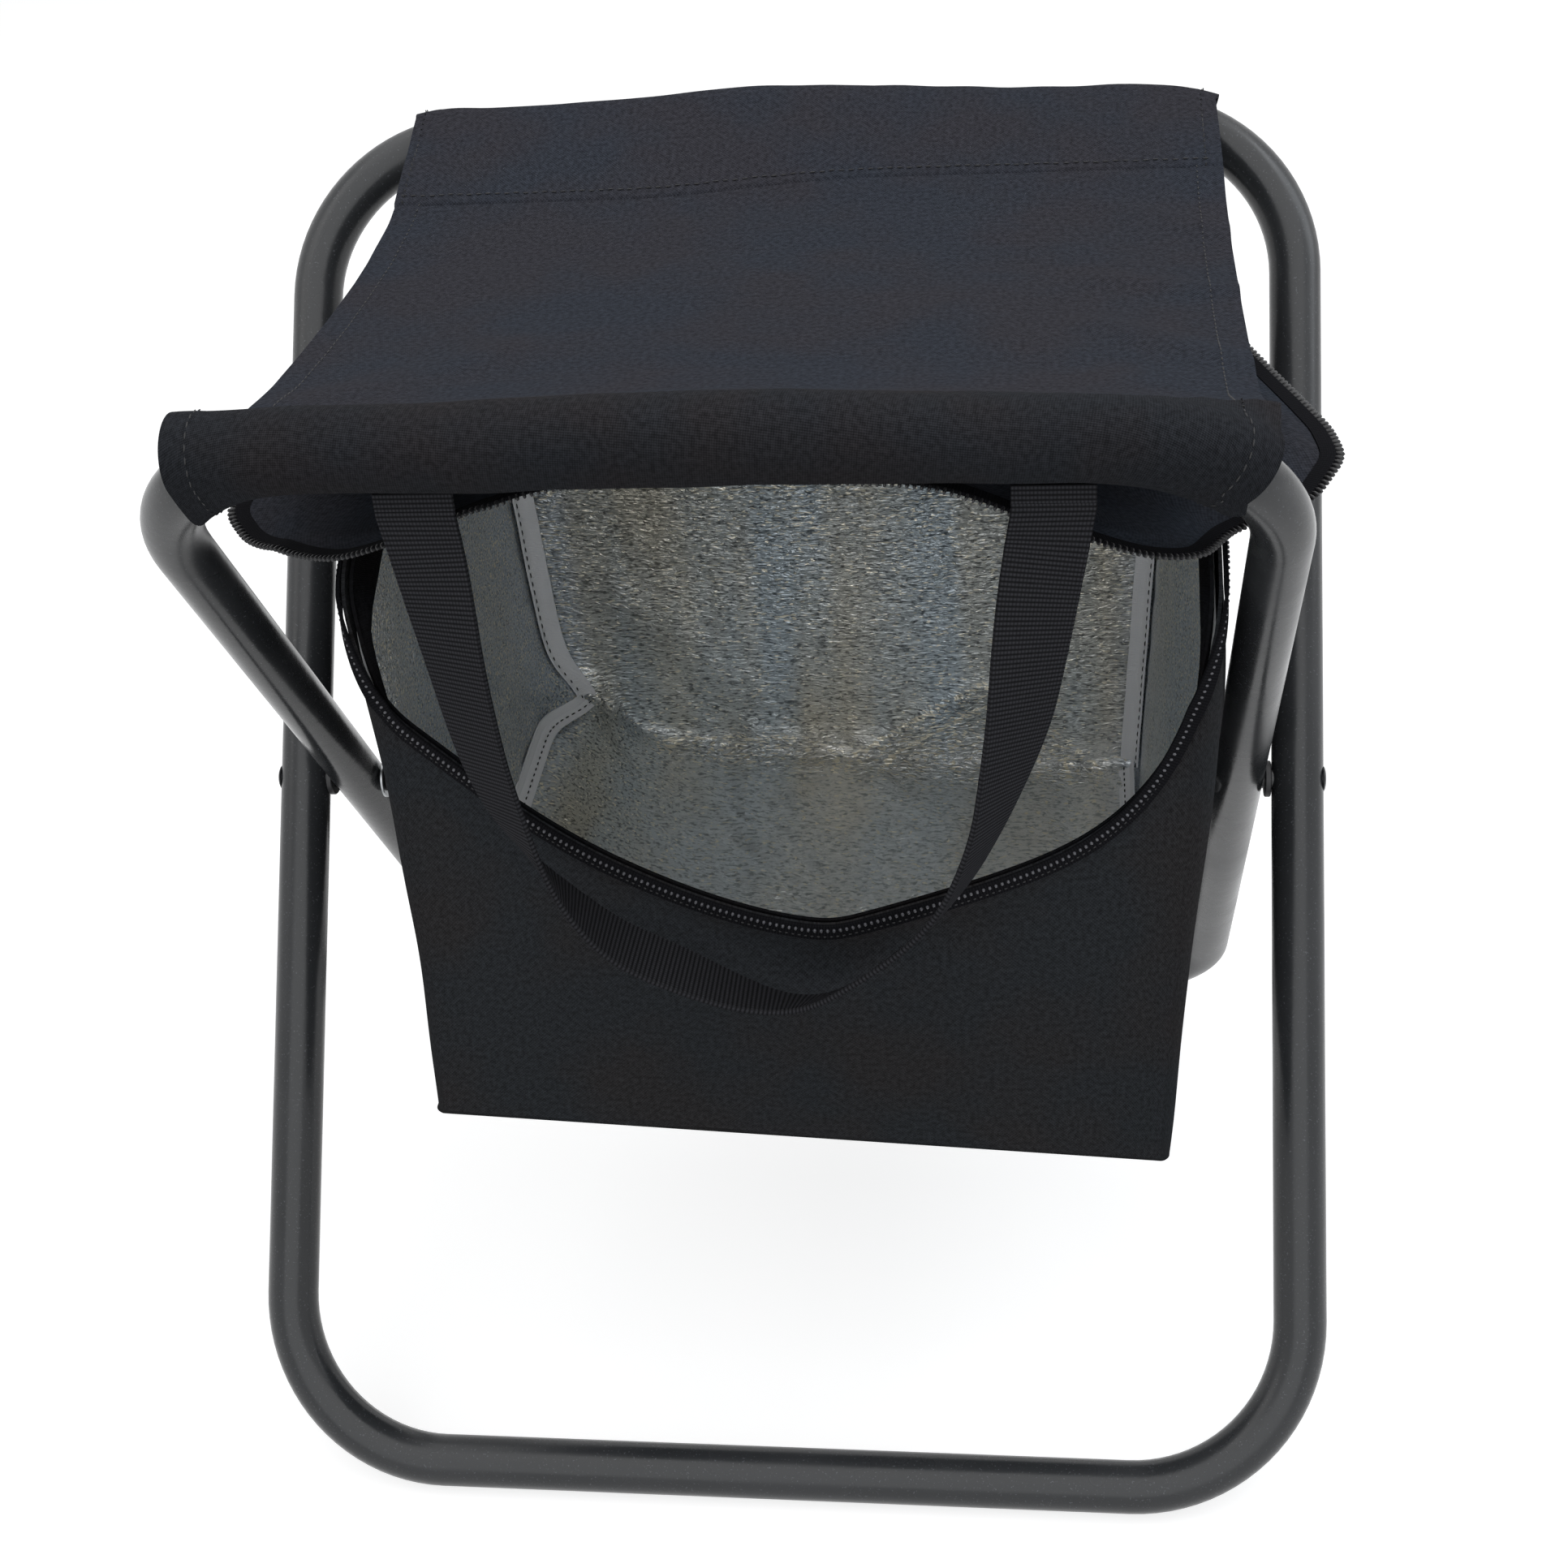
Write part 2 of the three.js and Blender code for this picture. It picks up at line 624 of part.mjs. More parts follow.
// The bag's half of the zip, round all of the rim but its rear.
function bagZip() {
  const start = firstOf('rearLeft');
  const end = firstOf('rear') + outline.length;
  const stations = [];
  for (let index = start; index <= end; index += 1) {
    const at = (outset, below) => wallPoint(index, 1, -outset, { cut: below });
    const outside = clearance + zipThickness;
    stations.push([at(clearance, 0), at(outside, 0), at(outside, zipHeight), at(clearance, zipHeight)]);
  }
  return loft(stations);
}

// The lid's half of the zip, along the lid's edge from rear right to rear left.
function lidZip() {
  const edgeOf = (side, column) => lidOutlineShares.map((row) => ({
    across: (side * lidWidth * row[column]) / 2, y: mix(lidRear, -lidFront, row[0]),
  }));
  const right = edgeOf(1, 2);
  const left = edgeOf(-1, 1).reverse();
  const edge = [...right, ...left];
  const stations = edge.map(({ across, y }, index) => {
    const before = edge[Math.max(index - 1, 0)];
    const after = edge[Math.min(index + 1, edge.length - 1)];
    const along = new THREE.Vector2(after.across - before.across, after.y - before.y).normalize();
    const out = { x: -along.y * -1, y: along.x * -1 };
    const outward = Math.sign(out.x * across + out.y * (y - lidRear)) || 1;
    const height = lidHeight(across, y) - lidThickness / 2;
    const at = (outset, rise) => point(
      bagShift + across + outward * out.x * outset, y + outward * out.y * outset, height + rise,
    );
    const [near, far, half] = [clearance, clearance + zipHeight, zipThickness / 2];
    return [at(near, half), at(far, half), at(far, -half), at(near, -half)];
  });
  return loft(stations);
}

// Binding tapes over the seams inside the bag, up its rear corners and along its floor's sides.
function cornerTape(side) {
  const first = firstOf(side > 0 ? 'rearRight' : 'rearLeft');
  const inset = lining + clearance;
  const limits = { lift: inset + tapeReach + 2 * clearance, cut: facingHeight + facingLap };
  const rings = tapeLevelShares.map((level) => {
    const at = (depth) => Array.from({ length: cornerSteps + 1 }, (_, step) => (
      wallPoint(first + step, level, depth, limits)
    ));
    return [...at(inset), ...at(inset + tapeThickness).reverse()];
  });
  return loft(rings, { flatEnds: true });
}

function floorTape(side) {
  const inset = lining + clearance;
  const rings = tapeLevelShares.map((share) => {
    const y = mix(bagFloorRear - bagCornerRadius, bagCornerRadius - bagFloorFront, share);
    const at = (out, rise) => {
      const x = side * (bagFloorWidth / 2 - inset - out);
      return point(bagShift + x, y, floorHeight({ x, y }) + inset + rise);
    };
    return [
      at(0, tapeReach), at(0, 0), at(tapeReach, 0),
      at(tapeReach, tapeThickness), at(tapeThickness, tapeThickness), at(tapeThickness, tapeReach),
    ];
  });
  return loft(rings, { flatEnds: true });
}

// Zip slider, parked behind the bag on the right, and its pull.
const sliderMiddle = {
  x: bagShift + bagRimWidth / 2 - bagCornerRadius - clearance - sliderWidth / 2,
  y: bagRimRear + bagWallBulge + clearance,
  z: rimRearHeight - clearance - sliderHeight / 2,
};
const pullHinge = { ...sliderMiddle, y: sliderMiddle.y + sliderDepth + (bridgeReach - bridgeBar) / 2 };

function block(width, depth, height, x, y, z) {
  return new THREE.BoxGeometry(width, depth, height).translate(x, y, z);
}

function zipSlider() {
  const { x, y, z } = sliderMiddle;
  const outline2d = new THREE.Shape();
  const [half, tall] = [sliderWidth / 2, sliderHeight / 2];
  outline2d.moveTo(-half, -tall * 0.5);
  outline2d.lineTo(-half * 0.5, -tall);
  outline2d.lineTo(half * 0.5, -tall);
  outline2d.lineTo(half, -tall * 0.5);
  outline2d.lineTo(half, tall * 0.8);
  outline2d.lineTo(half * 0.8, tall);
  outline2d.lineTo(-half * 0.8, tall);
  outline2d.lineTo(-half, tall * 0.8);
  const body = new THREE.ExtrudeGeometry(outline2d, { depth: sliderDepth, bevelEnabled: false });
  body.rotateX(Math.PI / 2).translate(x, y + sliderDepth, z);
  const face = y + sliderDepth;
  const arch = block(bridgeWidth, bridgeReach + bridgeBar, bridgeHeight, x, face + (bridgeReach - bridgeBar) / 2, z);
  const gap = block(
    bridgeWidth + cutOverrun, bridgeReach - bridgeBar, bridgeHeight - 2 * bridgeBar,
    x, face + (bridgeReach - bridgeBar) / 2, z,
  );
  return fromManifold(toManifold(body).add(toManifold(arch)).subtract(toManifold(gap)));
}

function zipPull() {
  const { x, y, z } = pullHinge;
  const half = pullWidth / 2;
  const top = pullRim / 2;
  const plate = new THREE.Shape();
  plate.moveTo(-half * 0.7, top);
  plate.lineTo(half * 0.7, top);
  plate.lineTo(half, top - pullRim);
  plate.lineTo(half * 0.75, -pullLength * 0.45);
  plate.lineTo(half, -pullLength * 0.7);
  plate.absarc(0, top - pullLength + half, half, 0, -Math.PI, true);
  plate.lineTo(-half * 0.75, -pullLength * 0.45);
  plate.lineTo(-half, top - pullRim);
  const solid = new THREE.ExtrudeGeometry(plate, { depth: pullThickness, bevelEnabled: false, curveSegments: 8 });
  solid.rotateX(Math.PI / 2).translate(x, y + pullThickness / 2, z);
  const eyeWidth = pullWidth - 2 * pullRim;
  const eye = block(eyeWidth, pullThickness + cutOverrun, pullEyeLength, x, y, z - top - pullEyeLength / 2);
  return fromManifold(toManifold(solid).subtract(toManifold(eye)));
}

// Handle: a loop of webbing that hangs from two ends sewn under the front sleeve.
const handleY = handleBehindBar - barReach;
const handlePastBend = Math.max(bagShift + (handleSpan + webbingWidth) / 2 - innerFrameWidth / 2 + bendRadius, 0);
const bendDrop = (bendRadius - Math.sqrt(Math.max(bendRadius ** 2 - handlePastBend ** 2, 0))) * Math.sin(lean);
const sleeveUnder = Math.sqrt(sleeveOut ** 2 - (handleBehindBar - webbingThickness / 2) ** 2);
const handleEndTop = barHeight - sleeveUnder - bendDrop - 3 * clearance;
const handleHinge = handleEndTop - handleEndLength - clearance;

function handleEnd(side) {
  const middle = handleEndTop - handleEndLength / 2;
  return block(webbingWidth, webbingThickness, handleEndLength, bagShift + (side * handleSpan) / 2, handleY, middle);
}

function carryHandle() {
  const places = handleShares.map(([across, down]) => (
    point(bagShift + (across * handleSpan) / 2, handleY - handleReach * down, handleHinge - down * handleDrop)
  ));
  const stations = places.map((place, index) => {
    const before = places[Math.max(index - 1, 0)];
    const after = places[Math.min(index + 1, places.length - 1)];
    const along = after.clone().sub(before).normalize();
    if (index === 0) along.set(0, 0, -1);
    if (index === places.length - 1) along.set(0, 0, 1);
    const twist = handleShares[index][2] * (Math.PI / 2);
    const level = along.clone().cross(point(0, 1, 0)).normalize();
    const outward = along.clone().cross(level);
    const wide = level.multiplyScalar(Math.cos(twist)).addScaledVector(outward, Math.sin(twist));
    const thick = along.clone().cross(wide).multiplyScalar(webbingThickness / 2);
    wide.multiplyScalar(webbingWidth / 2);
    return [[1, 1], [1, -1], [-1, -1], [-1, 1]].map(([w, t]) => (
      place.clone().addScaledVector(wide, w).addScaledVector(thick, t)
    ));
  });
  return loft(stations);
}

function frontSeamAt(x) {
  return inPlane({ y: frontSeam.y, z: frontSeam.z - frontDroop(x) }, -1);
}

// Assembly
const stool = new THREE.Group();

const outerGroup = new THREE.Group();
outerGroup.position.z = pivotHeight;
outerGroup.rotation.x = lean;
const floorTurn = Math.PI / 2 - lean;
outerGroup.add(
  mesh('outer_frame', frameLoop(outerFrameWidth, -floorTurn), steelPaint),
  mesh('outer_frame_spigot', spigot(), plainSteel),
  mesh('rear_sleeve', sleeve(outerFrameWidth, () => inPlane(rearSeam, 1)), seatFabric),
);

const innerGroup = new THREE.Group();
innerGroup.position.z = pivotHeight;
innerGroup.rotation.x = Math.PI - lean;
innerGroup.add(
  mesh('inner_frame', frameLoop(innerFrameWidth, floorTurn), steelPaint),
  mesh('inner_frame_spigot', spigot(), plainSteel),
  mesh('front_sleeve', sleeve(innerFrameWidth, frontSeamAt), bagFabric),
);

const rivets = new THREE.Group();
rivets.position.z = pivotHeight;
for (const [name, side] of [['left', -1], ['right', 1]]) {
  rivets.add(
    mesh(`pivot_rivet_${name}`, rivet(side), plainSteel),
    mesh(`spacer_washer_${name}`, spacer(side), blackNylon),
    mesh(`tail_washer_${name}`, tailWasher(side), plainSteel),
  );
  stool.add(
    mesh(`corner_tape_${name}`, cornerTape(side), greyTape),
    mesh(`floor_tape_${name}`, floorTape(side), greyTape),
    mesh(`handle_end_${name}`, handleEnd(side), webbing),
  );
}

stool.add(
  outerGroup,
  innerGroup,
  rivets,
  mesh('seat_panel', seatPanel(), seatFabric),
  mesh('lid_fabric', lidLayer(0, lidCloth), bagFabric),
  mesh('lid_foam', lidLayer(lidFoamDepth, lidFoam), foam),
  mesh('lid_foil', lidLayer(lidFoilDepth, lidFoil), foil),
  mesh('lid_zip', lidZip(), zipBlack),
  mesh('bag_fabric', bagShell(0, bagCloth, 0), bagFabric),
  mesh('bag_foam', bagShell(foamInset, bagFoam, facingHeight + facingLap), foam),
  mesh('bag_foil', bagShell(foilInset, bagFoil, facingHeight + facingLap), foil),
  mesh('rim_facing', rimFacing(), bagFabric),
  mesh('bag_zip', bagZip(), zipBlack),
  mesh('zip_slider', zipSlider(), plainSteel),
  mesh('zip_pull', zipPull(), plainSteel),
  mesh('carry_handle', carryHandle(), webbing),
);

export default stool;
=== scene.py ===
# %% [markdown]
# # A folding cooler stool
# Two bent steel loops cross and turn on rivets. A cloth seat joins their top bars, and under it
# hang a padded lid and an insulated bag, open at its front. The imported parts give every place
# and size. This lesson dresses them: smooth painted tube, woven cloth, zips, foil and webbing.

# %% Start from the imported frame
import math

import bpy
import numpy as np
from mathutils import Matrix, Vector


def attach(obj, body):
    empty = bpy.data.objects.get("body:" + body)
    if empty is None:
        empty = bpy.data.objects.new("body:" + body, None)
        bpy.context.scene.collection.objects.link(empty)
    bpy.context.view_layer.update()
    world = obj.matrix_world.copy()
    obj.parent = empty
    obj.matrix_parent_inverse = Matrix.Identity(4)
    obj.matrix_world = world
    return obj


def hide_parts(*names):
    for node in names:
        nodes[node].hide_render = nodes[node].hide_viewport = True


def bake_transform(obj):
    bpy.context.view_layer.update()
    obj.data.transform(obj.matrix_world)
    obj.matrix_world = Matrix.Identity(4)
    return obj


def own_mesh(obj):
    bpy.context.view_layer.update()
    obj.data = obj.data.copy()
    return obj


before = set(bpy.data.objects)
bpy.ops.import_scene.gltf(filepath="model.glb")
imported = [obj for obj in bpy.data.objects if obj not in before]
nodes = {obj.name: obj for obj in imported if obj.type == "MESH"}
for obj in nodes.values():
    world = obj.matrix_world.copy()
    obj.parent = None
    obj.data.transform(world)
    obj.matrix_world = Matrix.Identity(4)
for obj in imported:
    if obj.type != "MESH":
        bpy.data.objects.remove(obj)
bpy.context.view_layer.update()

# %% [markdown]
# The camera comes first, because every later look is judged from it. Its place was worked out
# from the outlines of the two tube loops, so it is written as three directions and a point.
# One could aim it with a Track To constraint, but fixed numbers never drift.

# %% Camera
camera_data = bpy.data.cameras.new("Camera")
camera_data.lens = 52.13
camera_data.sensor_width = 36
camera_data.clip_start = 0.02
camera_data.clip_end = 60
camera = bpy.data.objects.new("Camera", camera_data)
bpy.context.scene.collection.objects.link(camera)
right = Vector((0.99230249, 0.10572679, -0.06447955))
down = Vector((0.00201295, -0.53437997, -0.84524197))
forward = Vector((-0.1238213, 0.83860592, -0.5304794))
turn = Matrix((right, -down, -forward)).transposed().to_4x4()
camera.matrix_world = Matrix.Translation((0.08878, -0.61207, 0.56936)) @ turn
bpy.context.scene.camera = camera
print("camera at", tuple(round(v, 3) for v in camera.location))

# %% [markdown]
# Node trees are built in code, so one short helper adds a node, fills its inputs and links what
# comes from other nodes. It serves shaders and Geometry Nodes alike.

# %% Node helpers
def add_node(tree, kind, inputs=None, **settings):
    node = tree.nodes.new(kind)
    for key, value in settings.items():
        setattr(node, key, value)
    for socket, value in (inputs or {}).items():
        if isinstance(value, bpy.types.NodeSocket):
            tree.links.new(value, node.inputs[socket])
        else:
            node.inputs[socket].default_value = value
    return node


def maths(tree, operation, first, second=0.0):
    return add_node(tree, "ShaderNodeMath", {0: first, 1: second}, operation=operation).outputs[0]


def times(tree, first, second):
    return maths(tree, "MULTIPLY", first, second)


def plus(tree, first, second):
    return maths(tree, "ADD", first, second)


def colour(code):
    parts = [int(code[i:i + 2], 16) / 255 for i in (1, 3, 5)]
    return [*(p / 12.92 if p <= 0.04045 else ((p + 0.055) / 1.055) ** 2.4 for p in parts), 1.0]


def mix_colours(tree, factor, first, second):
    """Each colour is a code such as "#25262c", a socket or four numbers."""
    first, second = (colour(c) if isinstance(c, str) else c for c in (first, second))
    node = add_node(tree, "ShaderNodeMix", {0: factor, 6: first, 7: second}, data_type="RGBA")
    return node.outputs[2]


def noise(tree, place, scale, detail, **more):
    inputs = {"Vector": place, "Scale": scale, "Detail": detail, **more}
    return add_node(tree, "ShaderNodeTexNoise", inputs).outputs[0]


def between(tree, value, low, high, **more):
    """A value as a share, 0 at low and 1 at high, with other ends where they are given."""
    inputs = {"Value": value, "From Min": low, "From Max": high, **more}
    return add_node(tree, "ShaderNodeMapRange", inputs).outputs[0]


def object_place(tree):
    return add_node(tree, "ShaderNodeTexCoord").outputs["Object"]


def new_finish(name, **constants):
    """A material and its tree and shader; Specular_IOR_Level=0.1 sets the input of that name."""
    finish = bpy.data.materials.new(name)
    finish.use_nodes = True
    shader = finish.node_tree.nodes["Principled BSDF"]
    for label, value in constants.items():
        shader.inputs[label.replace("_", " ")].default_value = value
    return finish, finish.node_tree, shader


def dress(tree, shader, base, height, strength, depth):
    """Joins a colour and a bump, whose depth is in metres, to the shader."""
    tree.links.new(base, shader.inputs["Base Color"])
    bump = add_node(tree, "ShaderNodeBump", {
        "Height": height, "Strength": strength, "Distance": depth})
    tree.links.new(bump.outputs[0], shader.inputs["Normal"])


# %% [markdown]
# Cloth here is coarse polyester weave. A picture of a weave could be used, but waves along the
# cloth's own UV map, measured in metres, give threads of the true size at any distance. The
# waves drive the bump and a small change of colour, a painted highlight on the raised threads,
# and a soft noise paints patches of bluish and brownish room light over large areas.

# %% Woven cloth
def weave_waves(tree, pitch, slant):
    uv = add_node(tree, "ShaderNodeUVMap", uv_map="cloth").outputs[0]
    parts = add_node(tree, "ShaderNodeSeparateXYZ", {0: uv})
    across, along = parts.outputs[0], parts.outputs[1]
    if slant:
        turned = plus(tree, across, times(tree, along, slant))
        along = maths(tree, "SUBTRACT", along, times(tree, across, slant))
        across = turned
    waves = []
    for place in (across, along):
        waves.append(maths(tree, "SINE", times(tree, place, 2 * math.pi / pitch)))
    return uv, waves


def woven_cloth(name, dark, light, pitch=0.00105, slant=0.0, sheen=0.02, contrast=0.3):
    finish, tree, shader = new_finish(name, Roughness=0.85, IOR=1.15, Specular_IOR_Level=0.05,
                                      Sheen_Weight=sheen, Sheen_Roughness=0.5)
    uv, waves = weave_waves(tree, pitch, slant)
    checks = times(tree, waves[0], waves[1])
    yarn = noise(tree, uv, 700, 2)
    # Painted light: soft patches tint the cloth bluish or brownish, as room light would.
    room_light_patch = between(tree, noise(tree, object_place(tree), 22, 3), 0.4, 0.6)
    tint = mix_colours(tree, room_light_patch, (1.05, 0.98, 0.96, 1), (0.95, 1.01, 1.06, 1))
    # Painted highlight: the raised thread crossings are lighter. The yarn noise adds the cloth's
    # own uneven tone.
    thread = times(tree, checks, contrast)
    shade = plus(tree, thread, times(tree, yarn, 2.2))
    base = mix_colours(tree, maths(tree, "SUBTRACT", shade, 0.6), dark, light)
    room_light_tinted = add_node(tree, "ShaderNodeMix", {0: 1.0, 6: base, 7: tint},
                      data_type="RGBA", blend_type="MULTIPLY").outputs[2]
    height = plus(tree, times(tree, checks, 0.5), times(tree, yarn, 0.6))
    dress(tree, shader, room_light_tinted, height, 0.7, 0.0003)
    return finish


seat_cloth = woven_cloth("Seat cloth", "#292a2f", "#3e4047")
bag_cloth = woven_cloth("Bag cloth", "#272728", "#393a3c")
# Painted shade: the front sleeve has the seat's cloth, made darker for the shade on its front, with
# a slanted weave.
sleeve_cloth_painted_shade = woven_cloth("Front sleeve cloth, painted shade", "#232325", "#353538", slant=0.8, contrast=0.5)
lid_cloth_look = woven_cloth("Lid cloth", "#292b30", "#3c3f46")
facing_cloth = woven_cloth("Facing cloth", "#141415", "#202022", pitch=0.0008, sheen=0.0)
print("five cloths ready")


# %% [markdown]
# Webbing is woven in cross ribs. The same waves serve, with ribs along the strap and a finer
# beat across it, so that each rib breaks into small beads as in the real strap. The crests of
# the ribs are painted lighter, as a painted highlight.

# %% Webbing and tape
def ribbed_webbing(name, dark, light, rib=0.00125, bead=0.0009, relief=0.0003):
    finish, tree, shader = new_finish(name, Roughness=0.75, IOR=1.15, Specular_IOR_Level=0.1)
    uv = add_node(tree, "ShaderNodeUVMap", uv_map="cloth").outputs[0]
    across, along = add_node(tree, "ShaderNodeSeparateXYZ", {0: uv}).outputs[:2]
    ribs, beads = (
        maths(tree, "ABSOLUTE", maths(tree, "SINE", times(tree, place, math.pi / size)))
        for place, size in ((along, rib), (across, bead)))
    height = times(tree, ribs, plus(tree, times(tree, beads, 0.5), 0.5))
    # Painted highlight: the crests of the ribs are lighter.
    crest_highlight = times(tree, maths(tree, "POWER", height, 1.6), 0.85)
    factor = plus(tree, crest_highlight, times(tree, noise(tree, uv, 900, 2), 0.2))
    dress(tree, shader, mix_colours(tree, factor, dark, light), height, 0.8, relief)
    return finish


strap_webbing = ribbed_webbing("Strap webbing", "#161617", "#434347")
# Painted light: the grey tape is coloured almost white, lighter than its own pale grey, to stand in
# for light inside the bag.
grey_tape = ribbed_webbing("Grey binding tape", "#fbfbff", "#ffffff", 0.0007, 0.0006, 0.00008)
zip_tape = ribbed_webbing("Zip tape", "#141416", "#222225", 0.0008, 0.0006, 0.00008)
print("ribbed finishes:", strap_webbing.name, grey_tape.name, zip_tape.name)


# %% [markdown]
# Thread, nylon teeth and spacers are small and dark. Each gets a soft noise in its roughness,
# because a perfectly even gloss reads as plastic paint. The bag's coil teeth are the same nylon,
# painted light grey as a painted highlight.

# %% Small plain finishes
def speckled(name, dark, light, scale, low, high, metal=0.0, relief=0.0):
    """low and high are the ends of the roughness; relief is in metres."""
    finish, tree, shader = new_finish(name, Metallic=metal)
    grain = noise(tree, object_place(tree), scale, 4)
    rough = between(tree, grain, 0.0, 1.0, **{"To Min": low, "To Max": high})
    tree.links.new(rough, shader.inputs["Roughness"])
    base = mix_colours(tree, grain, dark, light)
    if relief:
        dress(tree, shader, base, grain, 0.6, relief)
    else:
        tree.links.new(base, shader.inputs["Base Color"])
    return finish


black_thread = speckled("Black thread", "#101011", "#232326", 900, 0.6, 0.8)
zip_nylon = speckled("Zip nylon", "#141416", "#232326", 500, 0.3, 0.5)
# Painted highlight: the bag's coil teeth are the same black nylon as the lid's, coloured light
# grey.
zip_coil_painted_highlight = speckled("Zip coil, painted highlight", "#414146", "#5f5f65", 500, 0.2, 0.35)
black_nylon = speckled("Black nylon", "#151517", "#212124", 200, 0.4, 0.6)
bright_steel = speckled("Zinced steel", "#8d9092", "#b5b8ba", 350, 0.22, 0.42,
                        metal=1.0, relief=0.00003)
white_foam = speckled("White foam", "#c9cacb", "#e4e5e6", 700, 0.85, 0.95, relief=0.0002)
print("small finishes ready")

# %% [markdown]
# The tubes wear glossy black paint. Real paint is never a perfect mirror: a fine orange peel
# bends its highlights, and dust and handling dull it in places. Both are noise, one in the
# bump and one in the roughness.

# %% Painted steel
painted_steel, tree, shader = new_finish("Painted steel", Specular_IOR_Level=0.36)
place = object_place(tree)
peel, dust, specks = (noise(tree, place, *kind) for kind in ((260, 2), (24, 5), (1500, 1)))
rough = between(tree, dust, 0.3, 0.7, **{"To Min": 0.18, "To Max": 0.34})
tree.links.new(rough, shader.inputs["Roughness"])
paint = mix_colours(tree, dust, "#282a2c", "#38393b")
paint = mix_colours(tree, between(tree, specks, 0.66, 0.74), paint, "#525458")
dress(tree, shader, paint, peel, 0.25, 0.0002)
print("painted steel ready")

# %% [markdown]
# The lining is thin aluminium foil glued to foam. It could be a mirror with wrinkles modelled
# one by one, but the wrinkles are finer than a pencil line. Ridged noise does it: the distance
# of a noise from its middle value is a net of sharp creases, here at two sizes. A curve gives the
# height of the long fold in the rear wall; the foil is crushed below it, and painted glints run
# along it. Most of the foil's colour is painted light: reflection bands, crinkle flecks, and a
# paler floor and side walls.

# %% Foil
foil, tree, shader = new_finish("Foil lining", Metallic=0.8, Roughness=0.33)
place = object_place(tree)
flat_place, bands = (
    add_node(tree, "ShaderNodeMapping", {"Vector": place, "Scale": scale}).outputs[0]
    for scale in ((0.45, 1.0, 1.5), (32, 10, 5)))
across, back, up = add_node(tree, "ShaderNodeSeparateXYZ", {0: place}).outputs

# The curve runs from -0.12 to 0.12 metres across, and its levels are shares of fold_range.
fold_range = 0.2
fold_line = add_node(tree, "ShaderNodeFloatCurve", {"Value": between(tree, across, -0.12, 0.12)})
fold_curve = fold_line.mapping.curves[0]
fold_curve.points[0].location = (0.0, 0.715)
fold_curve.points[1].location = (1.0, 0.56)
for share, level in ((0.48, 0.715), (0.533, 0.67), (0.745, 0.83), (0.83, 0.75)):
    fold_curve.points.new(share, level)
for point in fold_curve.points:
    point.handle_type = "VECTOR"
fold_line.mapping.update()
under_fold = maths(tree, "SUBTRACT", times(tree, fold_line.outputs[0], fold_range), up)

at_rear = between(tree, back, 0.078, 0.088)
crushed = times(tree, between(tree, under_fold, -0.002, 0.003), at_rear)
lively = maths(tree, "MAXIMUM", crushed, between(tree, up, 0.18, 0.26))
ridges = []
for below in (0.0, 0.0095):
    off = maths(tree, "ABSOLUTE", maths(tree, "SUBTRACT", under_fold, below))
    ridges.append(between(tree, off, 0.0015, 0.0004))
ridge_lines = times(tree, maths(tree, "MAXIMUM", *ridges), at_rear)
deep = between(tree, up, 0.15, 0.12)
at_right, at_left = between(tree, across, 0.1, 0.112), between(tree, across, -0.08, -0.088)


def creases(scale, detail):
    field = noise(tree, flat_place, scale, detail, Distortion=0.6)
    return maths(tree, "ABSOLUTE", maths(tree, "SUBTRACT", field, 0.5))


relief = plus(tree, creases(480, 3), times(tree, creases(130, 2), 0.9))
relief = times(tree, relief, plus(tree, times(tree, lively, 1.6), 0.9))
# Painted reflections: bluish and warm bands, and light and dark crinkle flecks, stand in for the
# room and the crinkles seen in the foil.
painted_reflection_band = between(tree, noise(tree, bands, 1, 2), 0.38, 0.62)
painted_crinkle_fleck = between(tree, noise(tree, flat_place, 900, 2), 0.34, 0.5)
# Painted glints: near-white specks where a noise passes a threshold, more in the crushed band,
# higher up, on the left wall and along the fold's ridge lines.
painted_glint = noise(tree, flat_place, 1000, 0)
painted_glint = plus(tree, painted_glint, times(tree, maths(tree, "MAXIMUM", lively, at_left), 0.09))
painted_glint = plus(tree, painted_glint, times(tree, ridge_lines, 0.2))
painted_glint = between(tree, painted_glint, 0.7, 0.75)
lighter = mix_colours(tree, painted_reflection_band, "#c4cfd7", "#d1ccbf")
base = mix_colours(tree, painted_crinkle_fleck, mix_colours(tree, painted_reflection_band, "#6c757c", "#77746b"), lighter)
# Painted light: below 0.15 m the foil turns paler, almost white, over the bag's floor.
paler_floor_painted_light = mix_colours(tree, painted_crinkle_fleck, "#cfd3d4", "#ffffff")
base = mix_colours(tree, times(tree, deep, 0.9), base, paler_floor_painted_light)
# Painted light: the side walls are made paler and bluish.
side = times(tree, maths(tree, "MAXIMUM", at_right, at_left), 0.6)
base = mix_colours(tree, side, base, mix_colours(tree, painted_crinkle_fleck, "#99a2ac", "#d6dfea"))
dress(tree, shader, mix_colours(tree, painted_glint, base, "#fdf6e4"), relief, 0.9, 0.0013)
print("foil ready")


# %% [markdown]
# Most pieces start as a grid of points in millimetres. The helper below makes a grid into a
# mesh with a UV map in metres, so that every weave keeps its size. A closed grid wraps round,
# and a pole closes its last row to one point. The faces are turned to look outwards.

# %% Grid pieces
MM = 0.001


def add_piece(name, data):
    piece = bpy.data.objects.new(name, data)
    bpy.context.scene.collection.objects.link(piece)
    return piece


def closed(rows):
    """A grid that wraps round, with its first column once more at the end."""
    return np.concatenate([rows, rows[:, :1]], axis=1)


def lengths_along(rows, axis):
    steps = np.linalg.norm(np.diff(rows, axis=axis), axis=2).mean(axis=1 - axis)
    return np.concatenate([[0], np.cumsum(steps)])


